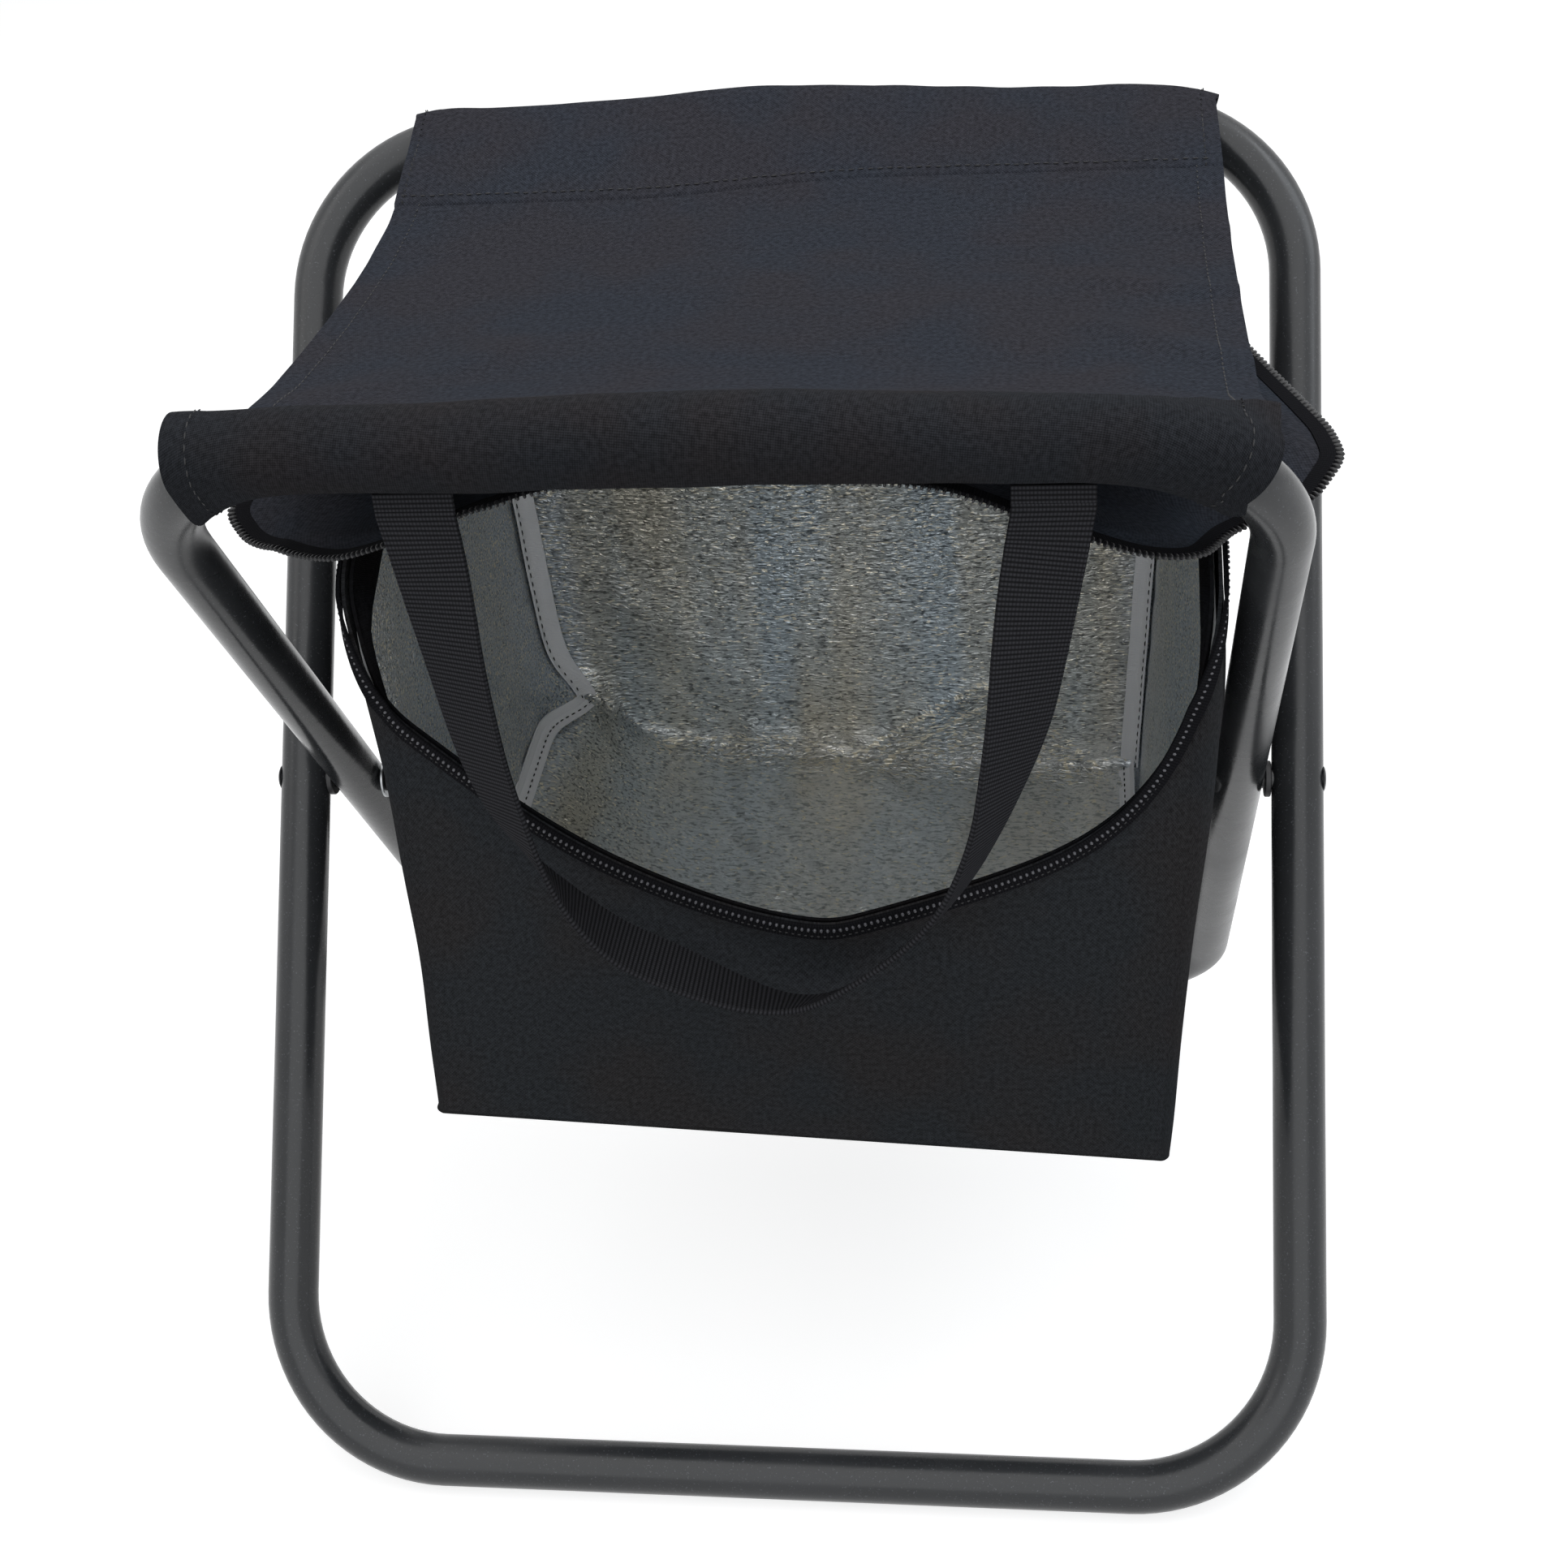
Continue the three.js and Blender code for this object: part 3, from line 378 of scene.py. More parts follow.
def grid_piece(name, rows, finish, wrap=False, pole=False, caps=False, uv=None, up=None):
    rows = np.asarray(rows, float)
    count, width = rows.shape[:2]
    rows_open = closed(rows) if wrap else rows
    if uv is None:
        across, along = lengths_along(rows_open, 1), lengths_along(rows_open, 0)
        uv = np.stack(np.broadcast_arrays(across[None, :], along[:, None]), axis=-1)
    columns = rows_open.shape[1] - 1
    i, j = np.meshgrid(np.arange(count - 1), np.arange(columns), indexing="ij")
    i, j = i.ravel(), j.ravel()
    k = (j + 1) % width
    row, next_row = i * width, (i + 1) * width
    faces = np.stack([row + j, row + k, next_row + k, next_row + j], axis=1)
    corner_uv = np.stack([uv[i, j], uv[i, j + 1], uv[i + 1, j + 1], uv[i + 1, j]], axis=1)
    points = rows.reshape(-1, 3)
    middle = points.mean(axis=0)
    a, b, c = points[faces[:, 0]], points[faces[:, 1]], points[faces[:, 2]]
    normals = np.cross(b - a, c - a)
    outward = np.einsum("ij,ij->i", normals, a - middle) if up is None else normals @ np.asarray(up)
    flip = outward.sum() < 0
    face_list, uv_list = faces.tolist(), corner_uv.reshape(-1, 2)
    if flip:
        face_list = faces[:, ::-1].tolist()
        uv_list = corner_uv[:, ::-1].reshape(-1, 2)
    if pole:
        centre = rows[-1].mean(axis=0)
        points = np.vstack([points, centre])
        start, extra = (count - 1) * width, []
        for column in range(columns):
            trio = [start + column, start + (column + 1) % width, len(points) - 1]
            corners = [uv[-1, column], uv[-1, column + 1], uv[-1].mean(axis=0)]
            face_list.append(trio[::-1] if flip else trio)
            extra.extend(corners[::-1] if flip else corners)
        uv_list = np.vstack([uv_list, extra])
    if caps:
        for row, order in ((0, range(width - 1, -1, -1)), (count - 1, range(width))):
            order = list(order)[::-1] if flip else list(order)
            face_list.append([row * width + k for k in order])
            uv_list = np.vstack([uv_list, [uv[row, k] for k in order]])
    mesh = bpy.data.meshes.new(name)
    mesh.from_pydata((points * MM).tolist(), [], face_list)
    layer = mesh.uv_layers.new(name="cloth")
    layer.data.foreach_set("uv", (np.asarray(uv_list) * MM).astype(np.float32).ravel())
    mesh.materials.append(finish)
    return add_piece(name, mesh)


# %% [markdown]
# A finished piece is a plain mesh. Live modifiers would also export, but here thickness is
# added and baked in at once.

# %% Baking a piece
def bake(piece, thickness=0.0, inwards=True, sharp=55):
    if thickness:
        wall = piece.modifiers.new("Thickness", "SOLIDIFY")
        wall.thickness = thickness * MM
        wall.offset = -1 if inwards else 1
        wall.use_even_offset = False
    graph = bpy.context.evaluated_depsgraph_get()
    graph.update()
    mesh = bpy.data.meshes.new_from_object(
        piece.evaluated_get(graph), preserve_all_data_layers=True, depsgraph=graph)
    piece.modifiers.clear()
    piece.data = mesh
    mesh.shade_smooth()
    mesh.set_sharp_from_angle(angle=math.radians(sharp))
    print(f"{piece.name}: {sum(len(p.vertices) - 2 for p in mesh.polygons)} triangles")
    return piece


# %% [markdown]
# The frame's sizes, in millimetres. Each loop lies in a plane that leans from the floor, and
# both planes cross at the rivets. One function takes a place in a loop's plane to the world.

# %% Frame sizes
tube_radius = 8.0
outer_width, inner_width = 320.0, 283.0
frame_length, pivot_along, bend_radius = 432.0, 219.0, 52.0
lean = math.radians(53.7)
top_along = frame_length - pivot_along
pivot_height = tube_radius + pivot_along * math.sin(lean)
bar_reach = top_along * math.cos(lean)
bar_height = pivot_height + top_along * math.sin(lean)


def from_plane(places, facing):
    """Places are (across, up the legs, square to the loop); facing is 1 or -1."""
    x, v, w = places[..., 0], places[..., 1], places[..., 2]
    y = facing * v * math.cos(lean) - w * math.sin(lean)
    z = v * math.sin(lean) + facing * w * math.cos(lean) + pivot_height
    return np.stack([x, y, z], axis=-1)


def into_plane(y, z, facing):
    rise = z - pivot_height
    return (y * facing * math.cos(lean) + rise * math.sin(lean),
            (rise * math.cos(lean) - y * facing * math.sin(lean)) * facing)


print(f"rivets {pivot_height:.1f} mm up, bars {bar_height:.1f} mm up")

# %% [markdown]
# Each frame is one tube bent to a rounded rectangle. That is a rule, so Geometry Nodes make it:
# a rectangle with filleted corners, swept with a circle, then leaned to its place. The same tree
# serves both loops with other inputs.

# %% Geometry Nodes helpers
def new_tree(name, sizes):
    tree = bpy.data.node_groups.new(name, "GeometryNodeTree")
    tree.interface.new_socket("Geometry", in_out="INPUT", socket_type="NodeSocketGeometry")
    for label, kind in sizes.items():
        tree.interface.new_socket(label, in_out="INPUT", socket_type="NodeSocket" + kind)
    tree.interface.new_socket("Geometry", in_out="OUTPUT", socket_type="NodeSocketGeometry")
    return tree, tree.nodes.new("NodeGroupInput").outputs


def end_tree(tree, geometry, finish):
    real = add_node(tree, "GeometryNodeRealizeInstances", {0: geometry}).outputs[0]
    dressed = add_node(tree, "GeometryNodeSetMaterial", {0: real, "Material": finish}).outputs[0]
    add_node(tree, "NodeGroupOutput", {0: dressed})


def use_tree(piece, tree, values):
    modifier = piece.modifiers.new(tree.name, "NODES")
    modifier.node_group = tree
    for item in tree.interface.items_tree:
        if item.in_out == "INPUT" and item.name in values:
            modifier[item.identifier] = values[item.name]
    return piece


# %% Bent tube tree
bent_tube, sizes = new_tree("Bent tube loop", {
    "Width": "Float", "Length": "Float", "Bend Radius": "Float", "Tube Radius": "Float",
    "Middle": "Vector", "Lean": "Vector", "Lift": "Vector", "Finish": "Material"})
loop = add_node(bent_tube, "GeometryNodeCurvePrimitiveQuadrilateral", {
    "Width": sizes["Width"], "Height": sizes["Length"]}).outputs[0]
loop = add_node(bent_tube, "GeometryNodeFilletCurve", {
    "Curve": loop, "Radius": sizes["Bend Radius"], "Count": 22}, mode="POLY").outputs[0]
section = add_node(bent_tube, "GeometryNodeCurvePrimitiveCircle", {
    "Resolution": 40, "Radius": sizes["Tube Radius"]}).outputs[0]
tube = add_node(bent_tube, "GeometryNodeCurveToMesh", {
    "Curve": loop, "Profile Curve": section}).outputs[0]
tube = add_node(bent_tube, "GeometryNodeTransform", {
    "Geometry": tube, "Translation": sizes["Middle"]}).outputs[0]
tube = add_node(bent_tube, "GeometryNodeTransform", {
    "Geometry": tube, "Translation": sizes["Lift"], "Rotation": sizes["Lean"]}).outputs[0]
end_tree(bent_tube, tube, sizes["Finish"])

# %% Two bent tubes
def volume_sign(piece):
    mesh = piece.data
    mesh.calc_loop_triangles()
    points = np.empty(len(mesh.vertices) * 3)
    mesh.vertices.foreach_get("co", points)
    corners = np.empty(len(mesh.loop_triangles) * 3, int)
    mesh.loop_triangles.foreach_get("vertices", corners)
    a, b, c = np.moveaxis(points.reshape(-1, 3)[corners.reshape(-1, 3)], 1, 0)
    return np.einsum("ij,ij->i", a, np.cross(b, c)).sum()


def face_out(piece):
    if volume_sign(piece) < 0:
        piece.data.flip_normals()
    return piece


for name, body, width, angle in (("outer_tube", "outer_frame", outer_width, lean),
                                 ("inner_tube", "inner_frame", inner_width, math.pi - lean)):
    piece = use_tree(add_piece(name, bpy.data.meshes.new(name)), bent_tube, {
        "Width": width * MM, "Length": frame_length * MM, "Bend Radius": bend_radius * MM,
        "Tube Radius": tube_radius * MM, "Middle": (0, (top_along - pivot_along) / 2 * MM, 0),
        "Lean": (angle, 0, 0), "Lift": (0, 0, pivot_height * MM), "Finish": painted_steel})
    face_out(bake(piece, sharp=60))
    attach(piece, body)
    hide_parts(body)

# %% [markdown]
# The rivets, washers and spacers are turned shapes. A lathe modifier would do, but a profile
# swung round the rivets' axis in code gives rounded heads with no pole to repair.

# %% Turned fasteners
def turned(name, profile, side, finish, body, node, slot):
    swing = np.linspace(0, 2 * math.pi, 40, endpoint=False)
    rows = [[(side * along, radius * math.cos(t), pivot_height + radius * math.sin(t))
             for t in swing] for radius, along in profile]
    piece = grid_piece(name, rows, finish, wrap=True)
    if profile[0] == profile[-1]:
        weld = piece.modifiers.new("Weld", "WELD")
        weld.merge_threshold = 1e-6
    face_out(bake(piece, sharp=40))
    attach(piece, body)
    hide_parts(node)


play = 0.3  # room on each side of a spacer and under a washer
inner_face, outer_face = inner_width / 2 - tube_radius, outer_width / 2 + tube_radius
gap_low, gap_high = inner_width / 2 + tube_radius + play, outer_width / 2 - tube_radius - play
for label, side in (("left", -1), ("right", 1)):
    tail, head = inner_face - 1.6, outer_face - 0.4
    rivet = [(0.02, tail - 1.6), (2.6, tail - 1.55), (3.7, tail - 1.25), (4.3, tail - 0.75),
             (4.5, tail), (3, tail), (3, head), (4, head), (4.1, head + 0.2), (3.9, head + 0.5),
             (3.3, head + 0.8), (2.4, head + 1), (1.3, head + 1.08), (0.02, head + 1.1)]
    turned(f"rivet_{label}", rivet, side, painted_steel, "outer_frame",
           f"pivot_rivet_{label}", "steel_paint")
    spacer = [(3.3, gap_low), (5.4, gap_low), (5.7, gap_low + 0.3), (5.7, gap_high - 0.3),
              (5.4, gap_high), (3.3, gap_high), (3.3, gap_low)]
    turned(f"spacer_{label}", spacer, side, black_nylon, "outer_frame",
           f"spacer_washer_{label}", "black_nylon")
    to = inner_face - play
    washer = [(3.3, to - 1), (6.3, to - 1), (6.5, to - 0.8), (6.5, to - 0.2), (6.3, to), (3.3, to),
              (3.3, to - 1)]
    turned(f"washer_{label}", washer, side, bright_steel, "outer_frame",
           f"tail_washer_{label}", "plain_steel")

for name in ("outer_frame_spigot", "inner_frame_spigot", "zip_slider", "zip_pull"):
    nodes[name].data.materials.clear()
    nodes[name].data.materials.append(bright_steel)


# %% [markdown]
# Soft things need soft folds. A sum of a few waves in random but seeded directions is a smooth,
# repeatable field that can be read at any point, so it bends cloth and crumples foil here.

# %% Folds from waves
def folds(x, y, size, seed, waves=9):
    rng = np.random.default_rng(seed)
    total = np.zeros(np.broadcast(x, y).shape)
    for _ in range(waves):
        angle, phase = rng.uniform(0, 2 * math.pi), rng.uniform(0, 2 * math.pi)
        pitch = size * rng.uniform(0.6, 1.7)
        way = x * math.cos(angle) + y * math.sin(angle)
        total = total + np.cos(way * 2 * math.pi / pitch + phase)
    return total / math.sqrt(waves)


def ease(value, low, high):
    t = np.clip((np.asarray(value, float) - low) / (high - low), 0, 1)
    return t * t * (3 - 2 * t)


def near(value, middle, reach):
    """1 where a value is at its middle, and falling to 0 beyond its reach."""
    return np.exp(-((value - middle) / reach) ** 2)


def bell(places):
    """Weights for a blur, which add up to 1."""
    weights = np.exp(-places ** 2)
    return weights / weights.sum()


def unit(vectors):
    return vectors / np.maximum(np.linalg.norm(vectors, axis=-1, keepdims=True), 1e-9)


def run_along(path):
    """The length along a line of points, from 0 at its first."""
    return np.concatenate([[0], np.cumsum(np.linalg.norm(np.diff(path, axis=0), axis=1))])


def even_path(path, count, endpoint=True):
    """The same line in equal steps; its first three columns are its places."""
    run = run_along(path[:, :3])
    places = np.linspace(0, run[-1], count, endpoint=endpoint)
    return np.stack([np.interp(places, run, column) for column in path.T], axis=1)


def read_table(table, place, column=1):
    table = np.asarray(table, float)
    return np.interp(place, table[:, 0], table[:, column])


def soft_table(table, column=1, blur=0.02):
    """A table of shares as a smooth function: straight lines, blurred."""
    grid = np.linspace(-0.2, 1.2, 1401)
    values = read_table(table, np.clip(grid, 0, 1), column)
    smooth = np.convolve(values, bell(np.arange(-120, 121) * 0.001 / blur), mode="same")
    return lambda place: np.interp(place, grid[130:-130], smooth[130:-130])


def ridge(x, z, start, end, reach):
    """How near places on a wall lie to a straight fold between two points, from 0 to 1."""
    start, end = np.array(start), np.array(end)
    way = end - start
    share = np.clip(((x - start[0]) * way[0] + (z - start[1]) * way[1]) / (way @ way), 0, 1)
    apart = np.hypot(x - start[0] - way[0] * share, z - start[1] - way[1] * share)
    return near(apart, 0, reach)


def push(rows, amounts, wrap=False):
    """Moves a grid's points along its own normals."""
    rows = np.asarray(rows, float)
    if wrap:
        across = np.roll(rows, -1, axis=1) - np.roll(rows, 1, axis=1)
    else:
        across = np.gradient(rows, axis=1)
    normals = unit(np.cross(across, np.gradient(rows, axis=0)))
    outward = np.einsum("ijk,ijk->ij", normals, rows - rows.mean(axis=(0, 1))).sum()
    return rows + normals * math.copysign(1, outward) * np.asarray(amounts)[..., None]


# %% [markdown]
# A sleeve is cloth wrapped round a top bar and pulled to a seam behind it. Its section is the
# tightest outline round the bar and the seam, as a stretched cloth lies. At each end it follows
# the bar a little way round the bend. Puckers by the seam and slack folds are pushed in after.

# %% Sleeve shape
cloth_shift, sleeve_width, seat_width = 5.0, 266.0, 254.0
sleeve_cloth_mm = 1.2
sleeve_out = tube_radius / math.cos(math.pi / 16) + 0.8 + sleeve_cloth_mm
rear_seam = (bar_reach - 42.0, bar_height - 4.0)
front_seam = (17.0 - bar_reach, bar_height + 4.0)


def front_droop(x):
    return 5.0 * ((x - cloth_shift) / (sleeve_width / 2)) ** 2


sag_depth = 10.4
sag_table = [[0, 0], [0.1, 0.45], [0.25, 0.85], [0.5, 1], [0.75, 0.98], [0.88, 0.75], [1, 0]]
seat_sag = soft_table(sag_table)


def seam_height(x, share):
    """The height of a cloth stretched straight from the rear seam to the front one."""
    return rear_seam[1] + (front_seam[1] - front_droop(x) - rear_seam[1]) * share


def seat_height(x, y):
    share = (rear_seam[0] - y) / (rear_seam[0] - front_seam[0])
    return seam_height(x, share) - sag_depth * seat_sag(share)


def rear_seam_y(x):
    """The rear seam runs a little further forward at its left."""
    return rear_seam[0] - 9.0 * ease(-np.asarray(x, float), -30, 50)


def crown(x, height):
    """The cloth stands a little off the bar at its middle."""
    away = x - cloth_shift
    return height * math.exp(-(away / (62 if away < 0 else 46)) ** 2)


# A sleeve's end is cut square to the bar or upright. Upright, its section is a little lower than
# the slanted cut, and its top follows less of the bend.
seam_radius, cut_high, top_falls = 1.5, 0.94, {True: 0.1, False: 0.75}


def sleeve_rows(width, facing, seam_of, raised, ends, around=84, at_bend=16, on_bar=64):
    """ends gives, for each side, the cloth's end, the seam's end and whether it is cut upright."""
    straight = width / 2 - bend_radius
    stations = [(x, 1, 0.0, x, False) for x in np.linspace(-straight, straight, on_bar)]
    for side in (-1, 1):
        end, seam_end, upright = ends[side]
        for step in np.linspace(1, 0, at_bend, endpoint=False):
            out = (end - straight) * step
            if upright:
                angle, x = math.asin(out / bend_radius), straight + out
            else:
                angle = step * math.asin((end - straight) / (bend_radius + sleeve_out))
                x = straight + bend_radius * math.sin(angle)
            seam_x = side * (straight + (seam_end - straight) * step)
            stations.append((side * x, side, angle, seam_x, upright))
    stations.sort()
    rows = []
    for x, side, angle, seam_x, upright in stations:
        drop = bend_radius * (1 - math.cos(angle))
        seam_v, seam_w = seam_of(seam_x)
        high = sleeve_out / math.cos(angle) * cut_high if upright else sleeve_out * math.cos(angle)
        tilt = 0 if upright else side * math.sin(angle) * sleeve_out
        top = top_along - drop * top_falls[upright] + float(crown(x, raised))
        first = math.atan2(seam_w, seam_v - top_along + drop)
        turns = np.linspace(first, first + 2 * math.pi, 721)
        c, s = np.cos(turns), np.sin(turns)
        best = np.full(turns.shape, -1e9)
        ring = np.zeros((len(turns), 3))
        for place_x, v, w, tall, wide, lean_out in (
                (x, top_along - drop, 0, high, sleeve_out, tilt),
                (x, top, 0, sleeve_out, sleeve_out, tilt),
                (seam_x, seam_v, seam_w, seam_radius, seam_radius, 0)):
            length = np.hypot(tall * c, wide * s)
            out_v, out_w = tall ** 2 * c / length, wide ** 2 * s / length
            reach = (v + out_v) * c + (w + out_w) * s
            out_x = lean_out * tall * c / length
            places = np.stack(np.broadcast_arrays(place_x + out_x, v + out_v, w + out_w), axis=-1)
            ring = np.where((reach > best)[:, None], places, ring)
            best = np.maximum(reach, best)
        rows.append(even_path(ring, around, endpoint=False))
    return from_plane(np.array(rows), facing)


def sleeve_piece(name, width, facing, seam_of, finish, body, seed, raised, ends):
    rows = sleeve_rows(width, facing, seam_of, raised, ends)
    steps = np.arange(rows.shape[1])
    from_seam = np.minimum(steps, rows.shape[1] - steps)[None, :] / rows.shape[1]
    x = rows[..., 0]
    round_place = np.linspace(0, 90, rows.shape[1])[None, :] + 0 * x
    pucker_depth, pucker_step = 0.32, 11
    puckers = pucker_depth * np.sin(x * 2 * math.pi / pucker_step + 2 * folds(x, 0 * x, 60, seed))
    puckers = puckers * np.exp(-from_seam / 0.07)
    slack = 0.35 * folds(x, round_place, 70, seed + 1) + 0.2 * folds(x, round_place, 28, seed + 2)
    end = np.minimum(x - x.min(), x.max() - x)
    hem = 0.12 * ease(9 - end, 0, 1.2)
    relief = np.clip(puckers + slack * np.clip(from_seam * 6, 0, 1), -0.35, 0.9)
    rows = push(rows, relief + hem, wrap=True)
    piece = bake(grid_piece(name, rows, finish, wrap=True), sleeve_cloth_mm, sharp=50)
    if body == "outer_frame":
        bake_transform(piece)
    else:
        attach(piece, body)
    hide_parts(name.replace("_cover", ""))
    return rows


def rear_seam_of(x):
    y = rear_seam_y(x)
    return into_plane(y, seat_height(x, y) + 0.2, 1)


def front_seam_of(x):
    return into_plane(front_seam[0], front_seam[1] - front_droop(x), -1)


rear_rows = sleeve_piece(
    "rear_sleeve_cover", outer_width, 1, rear_seam_of, seat_cloth, "outer_frame",
    3, 3.8, {-1: (126.5, 122.5, False), 1: (136.5, 135.5, False)})
front_rows = sleeve_piece(
    "front_sleeve_cover", inner_width, -1, front_seam_of, sleeve_cloth_painted_shade, "inner_frame",
    11, 4.6, {-1: (125.5, 124.5, True), 1: (138.0, 138.0, False)})

# %% [markdown]
# The seat is one width of the same cloth between the two seams, hemmed at its sides. It sags
# under use and never hangs quite flat: shallow folds run across it from the corners. They only
# rise, because the lid lies just under it.

# %% Seat cloth
seat_folds = [((88, 74), (134, 42), 1.6, 6), ((98, 6), (136, -3), 1.3, 5),
              ((96, -30), (136, -60), 1.6, 7), ((40, 60), (92, 30), 0.9, 12),
              ((-60, -40), (-112, -84), 1.4, 10), ((-20, 20), (60, -30), 0.8, 18)]


def seat_rows():
    share = np.linspace(0, 1, 110)[:, None]
    side = np.linspace(-0.5, 0.5, 132)[None, :]
    x = cloth_shift + side * seat_width + np.maximum(side, 0) * 7 + 0 * share
    y = (rear_seam_y(x) - 1.9) * (1 - share) + (front_seam[0] + 2.8) * share
    drape = folds(x * 0.55 + y * 0.9, x * 0.2, 80, 21) + 0.5 * folds(x, y, 60, 22)
    away = ease(share, 0.02, 0.25) * ease(1 - share, 0.02, 0.2)
    lift = np.maximum(drape * 0.6 + 0.3, 0) * away
    for start, end, size, reach in seat_folds:
        lift = lift + size * ridge(x, y, start, end, reach) * away
    lump = near(share, 0.93, 0.05) * near(x, -5, 60)
    lift = lift + 0.5 * near(share, 0, 0.04)
    edge = (side.max() - np.abs(side)) * seat_width
    lift = lift + 0.35 * ease(9.5 - edge, 0, 1.2) + 1.3 * lump
    return np.stack([x, y, seat_height(x, y) + 0.8 + lift], axis=-1)


seat_grid = seat_rows()
seat = bake(grid_piece("seat_cloth", seat_grid, seat_cloth, up=(0, 0, 1)), 1.6, sharp=50)
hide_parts("seat_panel")
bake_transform(seat)

# %% [markdown]
# When the stool folds, the bag and the lid crumple between the two frames. Nothing rigid does
# that, so those pieces ride with the outer frame.

# %% Riding with the outer frame
bag_keep, lid_keep = 0.12, 0.25  # the share of its depth that each keeps


def crumple(piece, *replaced, slot=None, keep=bag_keep):
    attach(piece, "outer_frame")
    if replaced:
        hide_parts(*replaced)
    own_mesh(piece)


# %% [markdown]
# The lid is a pad: cloth above, foam in the middle, foil below, all drawn together at the edge
# where the zip is sewn. Its front corners droop and stand out past the seat as two ears. The
# three layers share one outline and one height, so they nest.

# %% Lid shape
bag_shift, lid_width, lid_rear, lid_front = 9.0, 300.0, 92.0, 118.0
lid_outline = [
    [0, .77, .77], [.15, .778, .78], [.3, .786, .79], [.4, .795, .8], [.46, .803, .825],
    [.52, .815, .87], [.59, .835, .92], [.65, .87, .96], [.705, .92, .975], [.77, .95, .925],
    [.82, .9, .84], [.85, .85, .785], [.876, .8, .765], [.933, .69, .73], [.971, .54, .65],
    [1, .38, .48]]
lid_left, lid_right = soft_table(lid_outline, 1, 0.012), soft_table(lid_outline, 2, 0.012)
forward_table = [[0, 0], [.15, 0], [.3, .22], [.53, .5], [.7, .62], [.84, 1], [1, 1]]
lid_forward = soft_table(forward_table)
shoulder_droop, ear_droop, ear_start = 28, 9, 0.83  # mm, mm and a share of the half width


def lid_droop(across, y, forward=lid_forward):
    out = np.abs(across) / (lid_width / 2)
    ear = np.maximum(out - ear_start, 0) / (1 - ear_start)
    share = (lid_rear - y) / (lid_rear + lid_front)
    return (shoulder_droop * ease(out, 0.27, ear_start) + ear_droop * ear) * forward(share)


def lowest_seat():
    """The height that a flat lid could reach under the seat, since its droop gives room back."""
    share, sag = np.array(sag_table).T[:, :, None]
    x = cloth_shift + np.array([-0.5, -0.3, 0, 0.3, 0.5])[None, :] * seat_width
    y = rear_seam[0] + (front_seam[0] - rear_seam[0]) * share
    droop = lid_droop(x - bag_shift, y, lambda place: read_table(forward_table, place))
    return float((seam_height(x, share) - sag_depth * sag + droop).min())


lid_top = lowest_seat() - 1.4
lid_depths = np.unique(np.concatenate([np.linspace(0, 0.6, 50), np.linspace(0.6, 0.95, 70),
                                       np.linspace(0.95, 1, 26)]))
lid_thickness = 4.6
front_hollow = 8  # how far the middle of the front edge lies back
# Each layer's offset below the top face, and its pinch at the edge.
cloth_at, foam_top_at, foam_under_at, foil_at = (0, 1.9), (1.3, 1.5), (3.7, -0.4), (4.0, -1.2)


def lid_rows(offset, pinch):
    """offset is below the top face; pinch moves the edge towards the pad's middle."""
    depth = lid_depths[:, None]
    side = np.sin(np.linspace(-math.pi / 2, math.pi / 2, 150))[None, :]
    y = lid_rear - (lid_rear + lid_front) * depth + 0 * side
    half = np.where(side < 0, lid_left(depth), lid_right(depth)) * lid_width / 2
    across = side * half
    y = y + front_hollow * ease(1 - np.abs(across + 5) / 85, 0, 1) * depth ** 3
    edge = np.minimum((1 - np.abs(side)) * half, (1 - depth) * (lid_rear + lid_front) + 0 * side)
    z = lid_top - lid_droop(across, y) - offset - pinch * (1 - ease(edge, 0, 8))
    return np.stack([bag_shift + across, y, z], axis=-1)


# %% Lid pieces
top = lid_rows(*cloth_at)
wave = 0.5 * folds(top[..., 0], top[..., 1], 55, 31) - 0.6
top[..., 2] += np.minimum(wave, 0) * 0.5
lid_cloth = bake(grid_piece("lid_cloth", top, lid_cloth_look, up=(0, 0, 1)), 1.0)
foam_rows = np.concatenate([lid_rows(*foam_top_at), lid_rows(*foam_under_at)[:, ::-1]], axis=1)
lid_padding = bake(grid_piece("lid_padding", foam_rows, white_foam, wrap=True))
under = lid_rows(*foil_at)
under[..., 2] += 0.25 * folds(under[..., 0], under[..., 1], 14, 33)
lid_lining = bake(grid_piece("lid_lining", under, foil, up=(0, 0, 1)), 0.6)
crumple(lid_cloth, "lid_fabric", slot="bag_fabric", keep=lid_keep)
crumple(lid_padding, "lid_foam", slot="foam", keep=lid_keep)
crumple(lid_lining, "lid_foil", slot="foil", keep=lid_keep)
print(f"lid top at {lid_top:.1f} mm")

# %% [markdown]
# The bag is a lofted shell. A place on its wall is a step round the outline, a level from floor
# to rim and an inset from the cloth's face, so cloth, foam, foil and facing are the same shape
# at growing insets. The rim drops in front to a long curve, and just below its lowest stretch
# the cloth buckles in, because only the zip holds it.

# %% Bag shape
# The outline has eight parts: front, corner, right, corner, rear, corner, left, corner.
floor_width, rim_width = 220.0, 236.0
floor_reach, rim_front, rim_rear = 100.0, 94.0, 88.0
corner_radius, bag_height, front_bow = 8.5, 214.0, 20
floor_slope, floor_tilt = 10, 13  # its rise to the rear and its fall to the right
rim_rear_height = lid_top - lid_thickness - 0.3
side_drop, front_drop, lowest = 38, 92, 0.16  # the rim falls along its sides, then at its front


